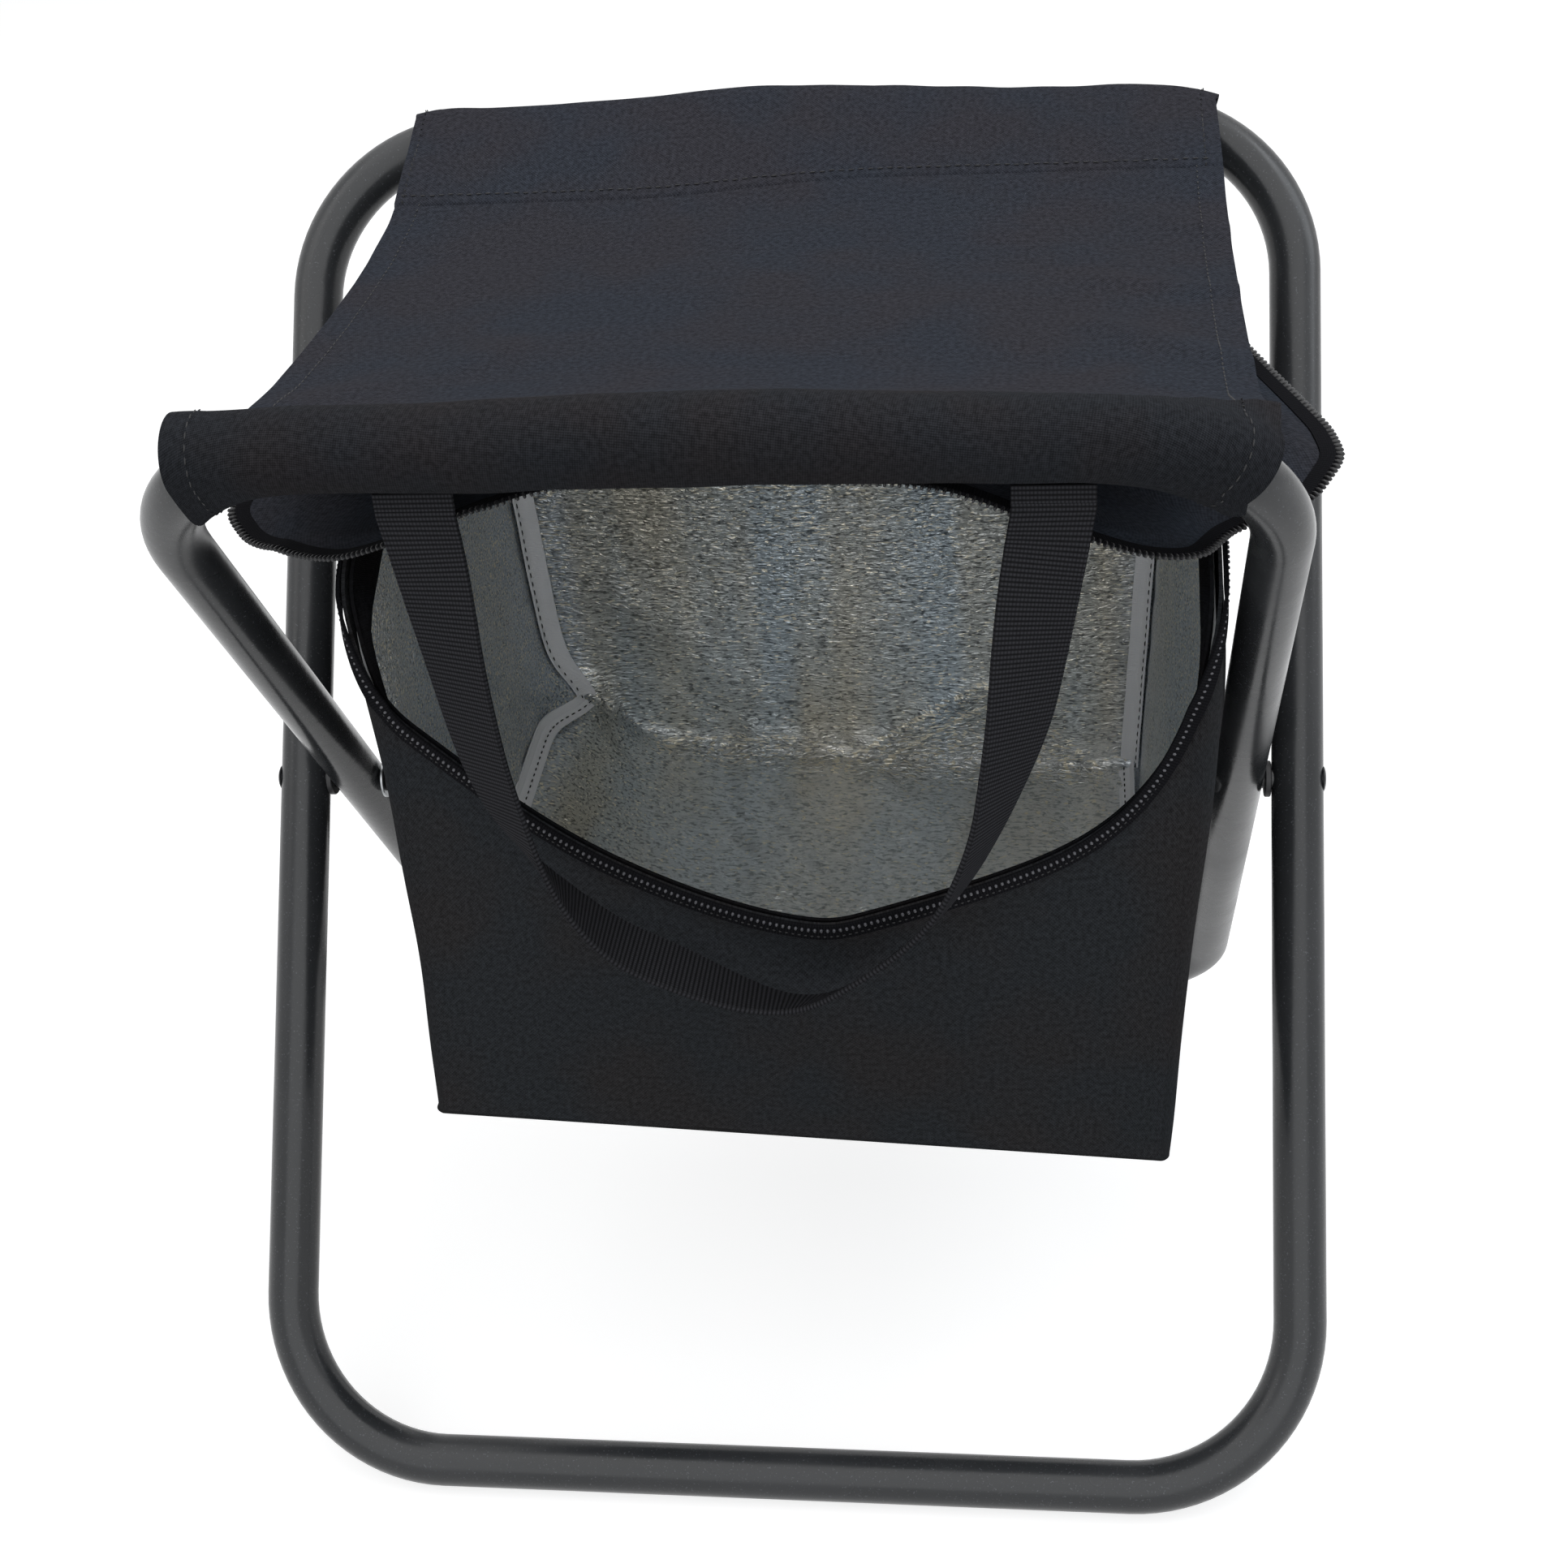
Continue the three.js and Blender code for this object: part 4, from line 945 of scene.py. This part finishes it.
def plan_place(s, level, inset):
    part, share = np.floor(s).astype(int) % 8, s - np.floor(s)
    bulge = np.sin(math.pi * np.clip(level, 0, 1))
    half = (floor_width + (rim_width - floor_width) * level) / 2 + bulge - inset
    front = -(floor_reach + (rim_front - floor_reach) * level) - bulge + inset
    rear = floor_reach + (rim_rear - floor_reach) * level + bulge - inset
    sharp = 0.65 * (1 - level) * (inset < 1)
    radius = np.maximum(corner_radius * (1 - sharp) - inset, 0.6)
    high_x, low_y, high_y = half - radius, front + radius, rear - radius
    bow = front_bow * level * (1 - (2 * share - 1) ** 2)
    angle = (share + np.choose(part, [0, -1, 0, 0, 0, 1, 0, 2])) * math.pi / 2
    c, n = radius * np.cos(angle), radius * np.sin(angle)
    x = np.choose(part, [
        -high_x + 2 * high_x * share, high_x + c, half + 0 * share, high_x + c,
        high_x - 2 * high_x * share, -high_x + c, -half + 0 * share, -high_x + c])
    y = np.choose(part, [
        front - bow, low_y + n, low_y + (high_y - low_y) * share, high_y + n,
        rear + 0 * share, high_y + n, high_y + (low_y - high_y) * share, low_y + n])
    return x, y


def rim_height(s):
    part, share = np.floor(s).astype(int) % 8, s - np.floor(s)
    place = 2 * share - 1
    left_reach = np.clip((place - lowest) / (-1 - lowest), 0, 1)
    right_reach = np.clip((place - lowest) / (1 - lowest), 0, 1)
    rise = np.where(place < lowest, 0.61 * left_reach ** 1.5,
                    0.25 * right_reach ** 0.95 + 0.35 * right_reach ** 7)
    drop = np.choose(part, [
        side_drop + front_drop * (1 - rise), side_drop + front_drop * 0.4 * (1 - share),
        side_drop * (1 - share) ** 1.2, 0 * share, 0 * share, 0 * share,
        side_drop * share ** 1.2, side_drop + front_drop * 0.39 * share])
    return rim_rear_height - drop


def floor_height(x, y):
    slope = y / (2 * floor_reach) * floor_slope
    return rim_rear_height - bag_height + slope - x / floor_width * floor_tilt


def outline_steps(counts=(96, 7, 60, 7, 100, 7, 60, 7)):
    return np.concatenate([k + np.arange(n) / n for k, n in enumerate(counts)])


def rim_smooth(s):
    """The rim's height along all steps, with its kinks at the corners eased."""
    x, y = plan_place(s, np.ones_like(s), 0)
    steps = np.hypot(np.diff(x, append=x[:1]), np.diff(y, append=y[:1]))
    run = np.concatenate([[0], np.cumsum(steps)])
    count, blur = 1200, 5.0
    even = np.linspace(0, run[-1], count, endpoint=False)
    level = np.interp(even, run[:-1], rim_height(s), period=run[-1])
    reach = np.arange(-40, 41)
    weights = bell(reach * run[-1] / count / blur)
    blurred = sum(w * np.roll(level, -k) for k, w in zip(reach, weights))
    return np.minimum(np.interp(run[:-1], even, blurred, period=run[-1]), rim_rear_height)


def buckle(s, below):
    """How far the front wall moves in at a height below the rim."""
    share = s - np.floor(s)
    on_front = np.where(np.floor(s).astype(int) % 8 == 0, 1.0, 0.0)
    return near(share, 0.58, 0.2) * on_front * (4.2 * near(below, 13, 8) - 1.6 * near(below, 1, 4))


def wall(s, level, inset, lift=0.0, cut=0.0, rim=None):
    """Points on the wall, which bellies out at its right and draws in at its front left."""
    s, level = np.broadcast_arrays(s, level)
    top = (rim_height(s) if rim is None else rim) + 0 * level
    base_x, base_y = plan_place(s, 0 * level, inset)
    base = floor_height(base_x, base_y)
    z = base + lift + (top - cut - base - lift) * level
    true_level = (z - base) / (top - base)
    x, y = plan_place(s, true_level, inset)
    belly = 7.5 * near(z, 250, 44) * near(y, -42, 55) * ease(x, 60, 112)
    waist = 4.4 * true_level + 4 * np.sin(math.pi * true_level)
    waist = waist * ease(-x, 40, 105) * near(y, -97, 45)
    return np.stack([bag_shift + x + belly + waist, y + buckle(s, top - z), z], axis=-1)


# %% [markdown]
# The outer cloth, the foam and the foil come from one function that walks down the wall, turns
# the floor's edge with a small radius and closes the floor ring by ring to its middle.

# %% Bag layers
def bag_rows(inset, cut, levels=64, edge=1.6, floor_rings=26):
    s = outline_steps()
    rows = wall(s[None, :], np.linspace(1, 0, levels)[:, None], inset,
                lift=inset + edge, cut=cut, rim=rim_smooth(s)[None, :])
    turned_rows = []
    for t in np.linspace(0, math.pi / 2, 5)[1:]:
        more = edge * (1 - math.cos(t))
        x, y = plan_place(s, 0 * s, inset + more)
        z = floor_height(x, y) + inset + edge * (1 - math.sin(t))
        turned_rows.append(np.stack([bag_shift + x, y, z], axis=-1))
    last = turned_rows[-1]
    middle = last.mean(axis=0)
    floor_rows = []
    for share in np.linspace(1, 0.03, floor_rings)[1:]:
        ring = middle + (last - middle) * share
        ring[:, 2] -= 1.3 * (1 - share ** 2)
        floor_rows.append(ring)
    return np.concatenate([rows, turned_rows, floor_rows]), levels, s


def bag_uv(rows, levels):
    """Round the outline and up the wall, and flat on the floor, in millimetres."""
    rows = closed(rows)
    across = lengths_along(rows[levels // 2:levels // 2 + 1], 1)
    uv = rows[..., :2].copy()
    uv[:levels, :, 0] = across[None, :]
    uv[:levels, :, 1] = rows[:levels, :, 2]
    return uv


cloth_grid, levels, _ = bag_rows(0.0, 0.0)
x, y, z = np.moveaxis(cloth_grid, 2, 0)
amount = np.minimum(0.35 * folds(x + y, z, 60, 41) - 0.4, 0)
amount[:3] = 0
cloth_grid[:levels] = push(cloth_grid[:levels], amount[:levels], wrap=True)
bag_outer = bake(grid_piece("bag_cloth", cloth_grid, bag_cloth, wrap=True, pole=True,
                            uv=bag_uv(cloth_grid, levels)), 1.0)
foam_inset, foam_cut = 1.9, 9.7
foam_grid, levels, _ = bag_rows(foam_inset, foam_cut)
bag_padding = bake(grid_piece("bag_padding", foam_grid, white_foam, wrap=True, pole=True), 2.4)
crumple(bag_outer, "bag_fabric", slot="bag_fabric")
crumple(bag_padding, "bag_foam", slot="foam")

# %% Foil lining
def pinch_corners(places):
    """Draws the lining in at its rear left corner and lifts the seam left of the floor."""
    places = np.asarray(places, float)
    corner = np.array([bag_shift - floor_width / 2 + 4, floor_reach - 6, 0.0])
    corner[2] = floor_height(corner[0] - bag_shift, corner[1]) + 6
    apart = np.linalg.norm(places - corner, axis=-1, keepdims=True)
    moved = places + np.array([11, -5, 5]) * near(apart, 0, 19)
    x, y, z = np.moveaxis(places, -1, 0)
    along = ease(y, -70, 20) * (1 - 0.4 * ease(y, 55, 95))
    moved[..., 2] += 24 * near(x, corner[0], 34) * near(z, corner[2], 48) * along
    return moved


foil_inset, foil_cut = 4.6, 9.2
foil_grid, levels, s = bag_rows(foil_inset, foil_cut, levels=76, edge=5.0, floor_rings=48)
x, y, z = np.moveaxis(foil_grid, 2, 0)
on_wall = (np.arange(len(foil_grid)) < levels + 1)[:, None]
low = near(z - floor_height(x - bag_shift, y), 7, 10)
at_side = ease(np.abs(x - bag_shift), 80, 96)
dents = np.abs(folds(x + 0.6 * y, z + 0.3 * y, 34, 51)) * 0.5
dents = (dents + np.abs(folds(x + y, z + y, 12, 52)) * 0.32) * (0.6 + 0.9 * at_side + 0.6 * low)
dents = dents + low * np.maximum(folds(x + 0.5 * y, z, 13, 53), -0.4) * 0.8 * on_wall
corner_place = np.minimum(np.abs(s - 3.5), np.abs(s - 5.5))[None, :]
by_tape = np.exp(-(corner_place / 0.55) ** 4) * on_wall
dents = dents * (1 - 0.9 * by_tape)
rear = ease(y, 60, 90) * on_wall
for start, end, size, reach in (
        ((12, 131), (62, 161), 3.4, 5), ((12, 131), (-24, 142), 2.2, 6),
        ((70, 158), (100, 140), 2.6, 5), ((74, 140), (104, 128), 2.2, 4),
        ((-70, 200), (-30, 165), 1.2, 9)):
    dents = dents + size * rear * ridge(x, z, start, end, reach)
dents = dents * ease(np.arange(len(foil_grid)), 1, 8)[:, None]
inward = unit(np.array([bag_shift, 0.0, 240.0]) - foil_grid)
foil_grid = foil_grid + inward * dents[..., None]
floor_folds = 1.2 * folds(x, 0 * x, 80, 54) + 0.5 * folds(x, y, 24, 55) + 1.2
foil_grid[..., 2] += low * np.maximum(floor_folds, 0)
foil_grid = pinch_corners(foil_grid)
bag_lining = bake(grid_piece("bag_lining", foil_grid, foil, wrap=True, pole=True), 0.6,
                  inwards=False, sharp=80)
crumple(bag_lining, "bag_foil", slot="foil")

# %% Rim facing
s = outline_steps()
facing_section = ((0, 2.3), (1, 2.3), (2.5, 2.3), (4.5, 2.3), (6, 2.6), (7.5, 3.2), (9, 4.2),
                  (10.5, 4.8), (12, 4.9))  # below the rim, and in from the cloth's face
facing_rows = [wall(s, np.ones_like(s), inset, cut=below, rim=rim_smooth(s))
               for below, inset in facing_section]
facing = bake(grid_piece("rim_band", facing_rows, facing_cloth, wrap=True), 1.0)
crumple(facing, "rim_facing", slot="bag_fabric")

# %% [markdown]
# Zip teeth and stitches are hundreds of small beads in a row, so Geometry Nodes place them: a
# guide line carries its direction and its outward side as attributes, is cut into equal steps,
# and each step gets one bead turned to match. Twenty-odd faces are enough for each.

# %% Beads along a line
beads, sizes = new_tree("Beads along a line", {
    "Pitch": "Float", "Bead Size": "Vector", "Lift": "Float", "Finish": "Material"})
line = add_node(beads, "GeometryNodeMeshToCurve", {"Mesh": sizes["Geometry"]}).outputs[0]
line = add_node(beads, "GeometryNodeResampleCurve", {"Curve": line, "Length": sizes["Pitch"]},
                mode="LENGTH").outputs[0]
along, outward = (add_node(beads, "GeometryNodeInputNamedAttribute", {"Name": name},
                           data_type="FLOAT_VECTOR").outputs[0] for name in ("along", "outward"))
rotation = add_node(beads, "FunctionNodeAxesToRotation", {0: outward, 1: along},
                    primary_axis="Z", secondary_axis="X").outputs[0]
bead = add_node(beads, "GeometryNodeMeshUVSphere", {
    "Segments": 6, "Rings": 4, "Radius": 0.5}).outputs[0]
raised = add_node(beads, "ShaderNodeVectorMath", {0: outward, "Scale": sizes["Lift"]},
                  operation="SCALE").outputs[0]
line = add_node(beads, "GeometryNodeSetPosition", {"Geometry": line, "Offset": raised}).outputs[0]
row = add_node(beads, "GeometryNodeInstanceOnPoints", {
    "Points": line, "Instance": bead, "Rotation": rotation, "Scale": sizes["Bead Size"]}).outputs[0]
end_tree(beads, row, sizes["Finish"])


def heading_of(path):
    return unit(np.gradient(path, axis=0))


def bead_row(name, path, outs, pitch, size, finish, lift=0.0):
    """path and outs are points and outward directions; size is (along, across, outward), in mm."""
    path, outs = np.asarray(path, float), unit(np.asarray(outs, float))
    mesh = bpy.data.meshes.new(name)
    mesh.from_pydata((path * MM).tolist(), [(k, k + 1) for k in range(len(path) - 1)], [])
    for label, values in (("along", heading_of(path)), ("outward", outs)):
        layer = mesh.attributes.new(label, "FLOAT_VECTOR", "POINT")
        layer.data.foreach_set("vector", values.astype(np.float32).ravel())
    piece = use_tree(add_piece(name, mesh), beads, {
        "Pitch": pitch * MM, "Bead Size": tuple(v * MM for v in size), "Lift": lift * MM,
        "Finish": finish})
    return face_out(bake(piece, sharp=80))


# %% Ribbons
def ribbon(name, path, sides, finish, width, thickness):
    """A flat band along path; sides are the directions across it, in mm."""
    path, sides = np.asarray(path, float), unit(np.asarray(sides, float))
    thick = unit(np.cross(heading_of(path), sides))
    half, deep = width / 2, thickness / 2
    top = [(half, deep * 0.3), (half - deep * 0.4, deep), (0, deep),
           (-half + deep * 0.4, deep), (-half, deep * 0.3)]
    section = [(a, -b) for a, b in top[::-1]] + top
    rows = np.stack([path + sides * a + thick * b for a, b in section], axis=1)
    across = np.array([a for a, _ in section] + [section[0][0]]) + half
    uv = np.stack(np.broadcast_arrays(across[None, :], run_along(path)[:, None]), axis=-1)
    return bake(grid_piece(name, rows, finish, wrap=True, caps=True, uv=uv), sharp=60)


# %% [markdown]
# The zip's two halves are narrow tapes with teeth: one along the lid's edge with its teeth
# pointing out, and one round the bag's rim with its teeth standing up.

# %% Lid zip
def blur_columns(table, weights):
    return np.stack([np.convolve(column, weights, mode="valid") for column in table.T], axis=1)


def lid_edge():
    rows = lid_rows(lid_thickness / 2, 0)
    path = np.concatenate([rows[:, -1], rows[-1][::-1][1:-1], rows[::-1, 0]])
    path = even_path(path, int(run_along(path)[-1] / 2.0))
    heading = np.gradient(path, axis=0)
    outs = np.stack([-heading[:, 1], heading[:, 0], 0 * heading[:, 0]], axis=1)
    if outs[len(outs) // 2, 1] > 0:
        outs = -outs
    padded = np.pad(outs, ((2, 2), (0, 0)), mode="edge")
    return path, unit(blur_columns(padded, np.ones(5) / 5))


edge_path, edge_outs = lid_edge()
lid_tape = ribbon("lid_zip_tape", edge_path + edge_outs * 1.2, edge_outs, zip_tape, 4.4, 1.0)
lid_teeth = bead_row("lid_zip_teeth", edge_path + edge_outs * 4.2, edge_outs, 1.8,
                     (1.0, 1.8, 2.8), zip_nylon)
crumple(lid_tape, "lid_zip", slot="zip_black", keep=lid_keep)
crumple(lid_teeth, slot="zip_black", keep=lid_keep)

# %% Bag zip
def rim_line(outset, below):
    """A line round the rim from the rear left corner, by the front, to the rear right one."""
    s, full = np.linspace(5.0, 12.0, 900), outline_steps()
    heights = rim_smooth(full)
    rim = np.interp(s % 8, np.append(full, 8.0), np.append(heights, heights[0]))
    return wall(s, np.ones_like(s), -outset, cut=below, rim=rim)


rim_path = rim_line(0.9, 1.6)
rim_path = even_path(rim_path, int(run_along(rim_path)[-1] / 1.5))
heading = heading_of(rim_path)
rim_out = np.cross(heading, np.array([0, 0, 1.0]))
if rim_out[len(rim_out) // 2, 1] > 0:
    rim_out = -rim_out
rim_up = np.cross(rim_out, heading)
rim_up *= np.sign(rim_up[:, 2:3])
bag_tape = ribbon("bag_zip_tape", rim_path - rim_up * 0.4, rim_up, zip_tape, 4.8, 1.0)
# The bag's teeth take the lighter coil finish, a painted highlight.
bag_teeth = bead_row("bag_zip_teeth", rim_path + rim_up * 0.5 + rim_out * 0.7, rim_up, 1.75,
                     (1.0, 1.0, 1.2), zip_coil_painted_highlight)
bag_seam = bead_row("bag_zip_stitches", rim_path - rim_up * 1.5 + rim_out * 0.6, rim_out, 1.75,
                    (1.0, 0.5, 0.4), black_thread)
crumple(bag_seam, slot="zip_black")
crumple(bag_tape, "bag_zip", slot="zip_black")
crumple(bag_teeth, slot="zip_black")

# %% [markdown]
# Grey binding tape covers the raw seams inside: up the two rear corners and along the two
# sides of the floor. Each is a ribbon laid on the foil, with a row of black stitches.

# %% Binding tapes
tape_half, tape_cloth = 4.6, 0.7
corner_inset, floor_inset = 5.4, 6.0


def along_outline(distance, inset, corner):
    """A step round the outline at a signed distance from the middle of a rear corner."""
    arc = max(corner_radius - inset, 0.6) * math.pi / 2
    side_length = 2 * floor_reach - 2 * corner_radius
    rear_length = floor_width - 2 * corner_radius
    before, after = (side_length, rear_length) if corner == 3 else (rear_length, side_length)
    if distance < -arc / 2:
        return corner + (distance + arc / 2) / before
    if distance > arc / 2:
        return corner + 1 + (distance - arc / 2) / after
    return corner + 0.5 + distance / arc


def corner_tape(name, corner, node):
    across = np.linspace(-tape_half, tape_half, 13)
    s = np.array([along_outline(a, corner_inset, corner) for a in across])
    rows = wall(s, np.linspace(0, 1, 60)[:, None], corner_inset, lift=corner_inset + 5, cut=11.0)
    wave = 0.5 * folds(rows[..., 2], rows[..., 0], 40, 61 + corner)
    inward = np.array([bag_shift, 0, 0]) - rows
    inward[..., 2] = 0
    inward = unit(inward)
    rows = pinch_corners(rows + inward * (1.5 + 0.3 * wave)[..., None])
    up = tuple(inward.mean(axis=(0, 1)))
    crumple(bake(grid_piece(name, rows, grey_tape, up=up), tape_cloth), node, slot="grey_tape")
    return rows, inward


def floor_tape(name, side, node):
    y = 90 - 182 * np.linspace(0, 1, 60)[:, None]
    fold = np.linspace(-tape_half, tape_half, 13)[None, :]
    reach = floor_width / 2 + (1.5 if side < 0 else 0) - floor_inset
    x = side * (reach - np.maximum(fold, 0) - 1.2 - 0.8 * near(fold, 0, 3))
    rise = np.maximum(-fold, 0) + 1.8 * near(fold, 0, 3)
    x, y = np.broadcast_arrays(x, y)
    z = floor_height(x, y) + floor_inset + 1.4 + rise
    rows = pinch_corners(np.stack([bag_shift + x, y, z], axis=-1))
    piece = bake(grid_piece(name, rows, grey_tape, up=(-side, 0, 1)), tape_cloth)
    crumple(piece, node, slot="grey_tape")
    return rows


def tape_stitches(name, path, outs):
    crumple(bead_row(name, path, outs, 3.4, (2.3, 0.55, 0.5), black_thread, lift=0.15))


for label, corner, side in (("left", 5, -1), ("right", 3, 1)):
    rows, inward = corner_tape(f"corner_binding_{label}", corner, f"corner_tape_{label}")
    column = 10 if side < 0 else 2
    tape_stitches(f"corner_stitches_{label}", rows[:, column], inward[:, column])
    rows = floor_tape(f"floor_binding_{label}", side, f"floor_tape_{label}")
    outs = np.tile([-side * 0.3, 0, 1.0], (len(rows), 1))
    tape_stitches(f"floor_stitches_{label}", rows[:, 9], outs)

# %% [markdown]
# The carry handle is one strap of webbing. Its ends hang flat from the front sleeve, and towards
# its lowest point it twists a quarter turn and lies on edge. The path and the twist are tables of
# shares, made smooth, and the strap is a ribbon along them.

# %% Carry handle
handle_span, handle_drop, handle_bulge = 153.0, 145.0, 4
strap_width, strap_thickness = 20.0, 1.5
handle_y = -1 - bar_reach
past_bend = max(bag_shift + (handle_span + strap_width) / 2 - inner_width / 2 + bend_radius, 0)
bend_drop = (bend_radius - math.sqrt(bend_radius ** 2 - past_bend ** 2)) * math.sin(lean)
end_top = bar_height - math.sqrt(sleeve_out ** 2 - 1.9 ** 2) - bend_drop - 0.9
end_length, hinge_below = 6, 6.3
hinge_height = end_top - hinge_below
handle_shares = np.array([
    [-1, 0, 0], [-.98, .08, .08], [-.95, .27, .31], [-.91, .45, .4], [-.86, .57, .47],
    [-.77, .69, .68], [-.67, .77, .86], [-.52, .86, .98], [-.33, .91, 1], [-.11, .97, .88],
    [.08, 1, .7], [.2, .99, .66], [.37, .92, .7], [.5, .86, .74], [.6, .8, .78], [.69, .73, .76],
    [.8, .59, .68], [.89, .4, .4], [.95, .16, .12], [1, 0, 0]])
points = np.stack([bag_shift + handle_shares[:, 0] * handle_span / 2,
                   handle_y - handle_bulge * handle_shares[:, 1],
                   hinge_height - handle_shares[:, 1] * handle_drop, handle_shares[:, 2]], axis=1)
count, blur = 260, 14
path = even_path(points, count)
padded = np.vstack([2 * path[0] - path[blur:0:-1], path, 2 * path[-1] - path[-2:-blur - 2:-1]])
path = blur_columns(padded, bell(np.arange(-blur, blur + 1) / (blur / 2)))
twist = path[:, 3:] * math.pi / 2
step = np.arange(count)
from_end = np.minimum(step, count - 1 - step) * run_along(points[:, :3])[-1] / (count - 1)
square = ease(from_end, 2, 14)[:, None]
upright = np.where(step < count / 2, -1.0, 1.0)[:, None] * np.array([0, 0, 1.0])
heading = heading_of(path[:, :3]) * square + upright * (1 - square)
level_way = unit(np.cross(heading, np.array([0, 1.0, 0])))
flat_way = level_way * np.cos(twist) + np.cross(heading, level_way) * np.sin(twist)
top_ends = path[[0, -1], :3] + np.array([0, 0, 1.6])
strap_path = np.vstack([top_ends[:1], path[:, :3], top_ends[1:]])
strap_sides = np.vstack([flat_way[:1], flat_way, flat_way[-1:]])
strap = ribbon("carry_strap", strap_path, strap_sides, strap_webbing, strap_width, strap_thickness)
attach(strap, "carry_handle")
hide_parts("carry_handle")

# %% Strap ends
for label, side in (("left", -1), ("right", 1)):
    x = bag_shift + side * handle_span / 2
    path_end = np.array([[x, handle_y, z] for z in np.linspace(end_top, end_top - end_length, 8)])
    piece = ribbon(f"strap_end_{label}", path_end, np.tile([1.0, 0, 0], (8, 1)), strap_webbing,
                   strap_width, 1.2)
    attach(piece, "inner_frame")
    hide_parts(f"handle_end_{label}")

# %% [markdown]
# Top stitching shows where the cloth is doubled: beside the rear seam, along the seat's side
# hems and at the sleeves' ends. It is the same row of beads, laid on the finished grids. What
# spans the two frames is baked in place, as the seat is.

# %% Top stitching
def stitch(name, path, outs, body=None):
    """Without a body the row is baked in place."""
    piece = bead_row(name, path, outs, 3.0, (2.2, 0.5, 0.4), black_thread, lift=0.05)
    if body:
        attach(piece, body)
    else:
        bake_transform(piece)


for label, column in (("left", 4), ("right", -5)):
    outs = np.tile([0, 0, 1.0], (len(seat_grid), 1))
    stitch(f"seat_stitches_{label}", seat_grid[:, column], outs)

seam_outs = np.tile([0, -0.3, 1.0], (len(rear_rows) - 6, 1))
upper = 3 if rear_rows[30, 3, 2] > rear_rows[30, -3, 2] else -3
stitch("rear_seam_stitches", rear_rows[3:-3, upper] + np.array([0, 0, 0.3]), seam_outs)

for name, rows, body in (("rear", rear_rows, None), ("front", front_rows, "inner_frame")):
    outs = rows - rows.mean(axis=1, keepdims=True)
    for label, index in (("left", 3), ("right", -4)):
        stitch(f"{name}_hem_stitches_{label}", rows[index], outs[index], body)

# %% [markdown]
# The stage is a pale floor under an even white sky. The camera, mirrors and glass see the sky as
# plain white, while diffuse light from it is weaker, so that the floor keeps a soft shadow and
# dark cloth stays dark. Three windows and a ceiling, all wide lamps, give the tubes their long
# highlights.

# %% Stage and light
scene = bpy.context.scene
scene.view_settings.view_transform = "Standard"
world = bpy.data.worlds.new("Soft white room")
scene.world = world
world.use_nodes = True
tree = world.node_tree
tree.nodes.clear()
rays = add_node(tree, "ShaderNodeLightPath").outputs
seen = maths(tree, "MAXIMUM", rays["Is Camera Ray"],
             maths(tree, "MAXIMUM", rays["Is Glossy Ray"], rays["Is Transmission Ray"]))
dim, white = (
    add_node(tree, "ShaderNodeBackground", {"Color": tint, "Strength": strength}).outputs[0]
    for tint, strength in (((0.93, 0.96, 1.0, 1), 0.2), ((1, 1, 1, 1), 1.0)))
sky = add_node(tree, "ShaderNodeMixShader", {0: seen, 1: dim, 2: white}).outputs[0]
add_node(tree, "ShaderNodeOutputWorld", {"Surface": sky})

floor_finish, tree, shader = new_finish("Pale floor")
tree.nodes.remove(shader)
rays = add_node(tree, "ShaderNodeLightPath").outputs
matt = add_node(tree, "ShaderNodeBsdfDiffuse", {"Color": (0.5, 0.5, 0.5, 1)}).outputs[0]
seen = maths(tree, "MAXIMUM", rays["Is Camera Ray"], rays["Is Glossy Ray"])
glow = add_node(tree, "ShaderNodeEmission", {
    "Color": (1, 1, 1, 1), "Strength": times(tree, seen, 0.75)}).outputs[0]
both = add_node(tree, "ShaderNodeAddShader", {0: matt, 1: glow}).outputs[0]
tree.links.new(both, tree.nodes["Material Output"].inputs["Surface"])
far = 15000.0
corners = [[(x, y, -0.2) for x in (-far, far)] for y in (-far, far)]
floor = grid_piece("floor", corners, floor_finish, up=(0, 0, 1))


def lamp(name, place, target, size, watts, tint):
    light = bpy.data.lights.new(name, "AREA")
    light.shape = "RECTANGLE"
    light.size, light.size_y = size
    light.energy = watts
    light.color = tint
    item = add_piece(name, light)
    item.location = place
    item.rotation_euler = (Vector(target) - Vector(place)).to_track_quat("-Z", "Y").to_euler()


lamp("Window behind the camera", (0.15, -2.75, 1.38), (0, 0, 0.22), (3.6, 2.4), 28,
     (0.97, 0.99, 1.0))
lamp("Window right", (1.7, 0.3, 1.5), (0, 0, 0.2), (0.9, 1.8), 13, (0.9, 0.95, 1.0))
lamp("Window left", (-1.8, -0.5, 1.6), (0, 0, 0.2), (1.0, 1.5), 5, (1.0, 0.98, 0.95))
lamp("Ceiling", (0, -0.2, 2.4), (0, 0, 0.2), (3.8, 3.8), 48, (1, 1, 1))
print("stage ready")
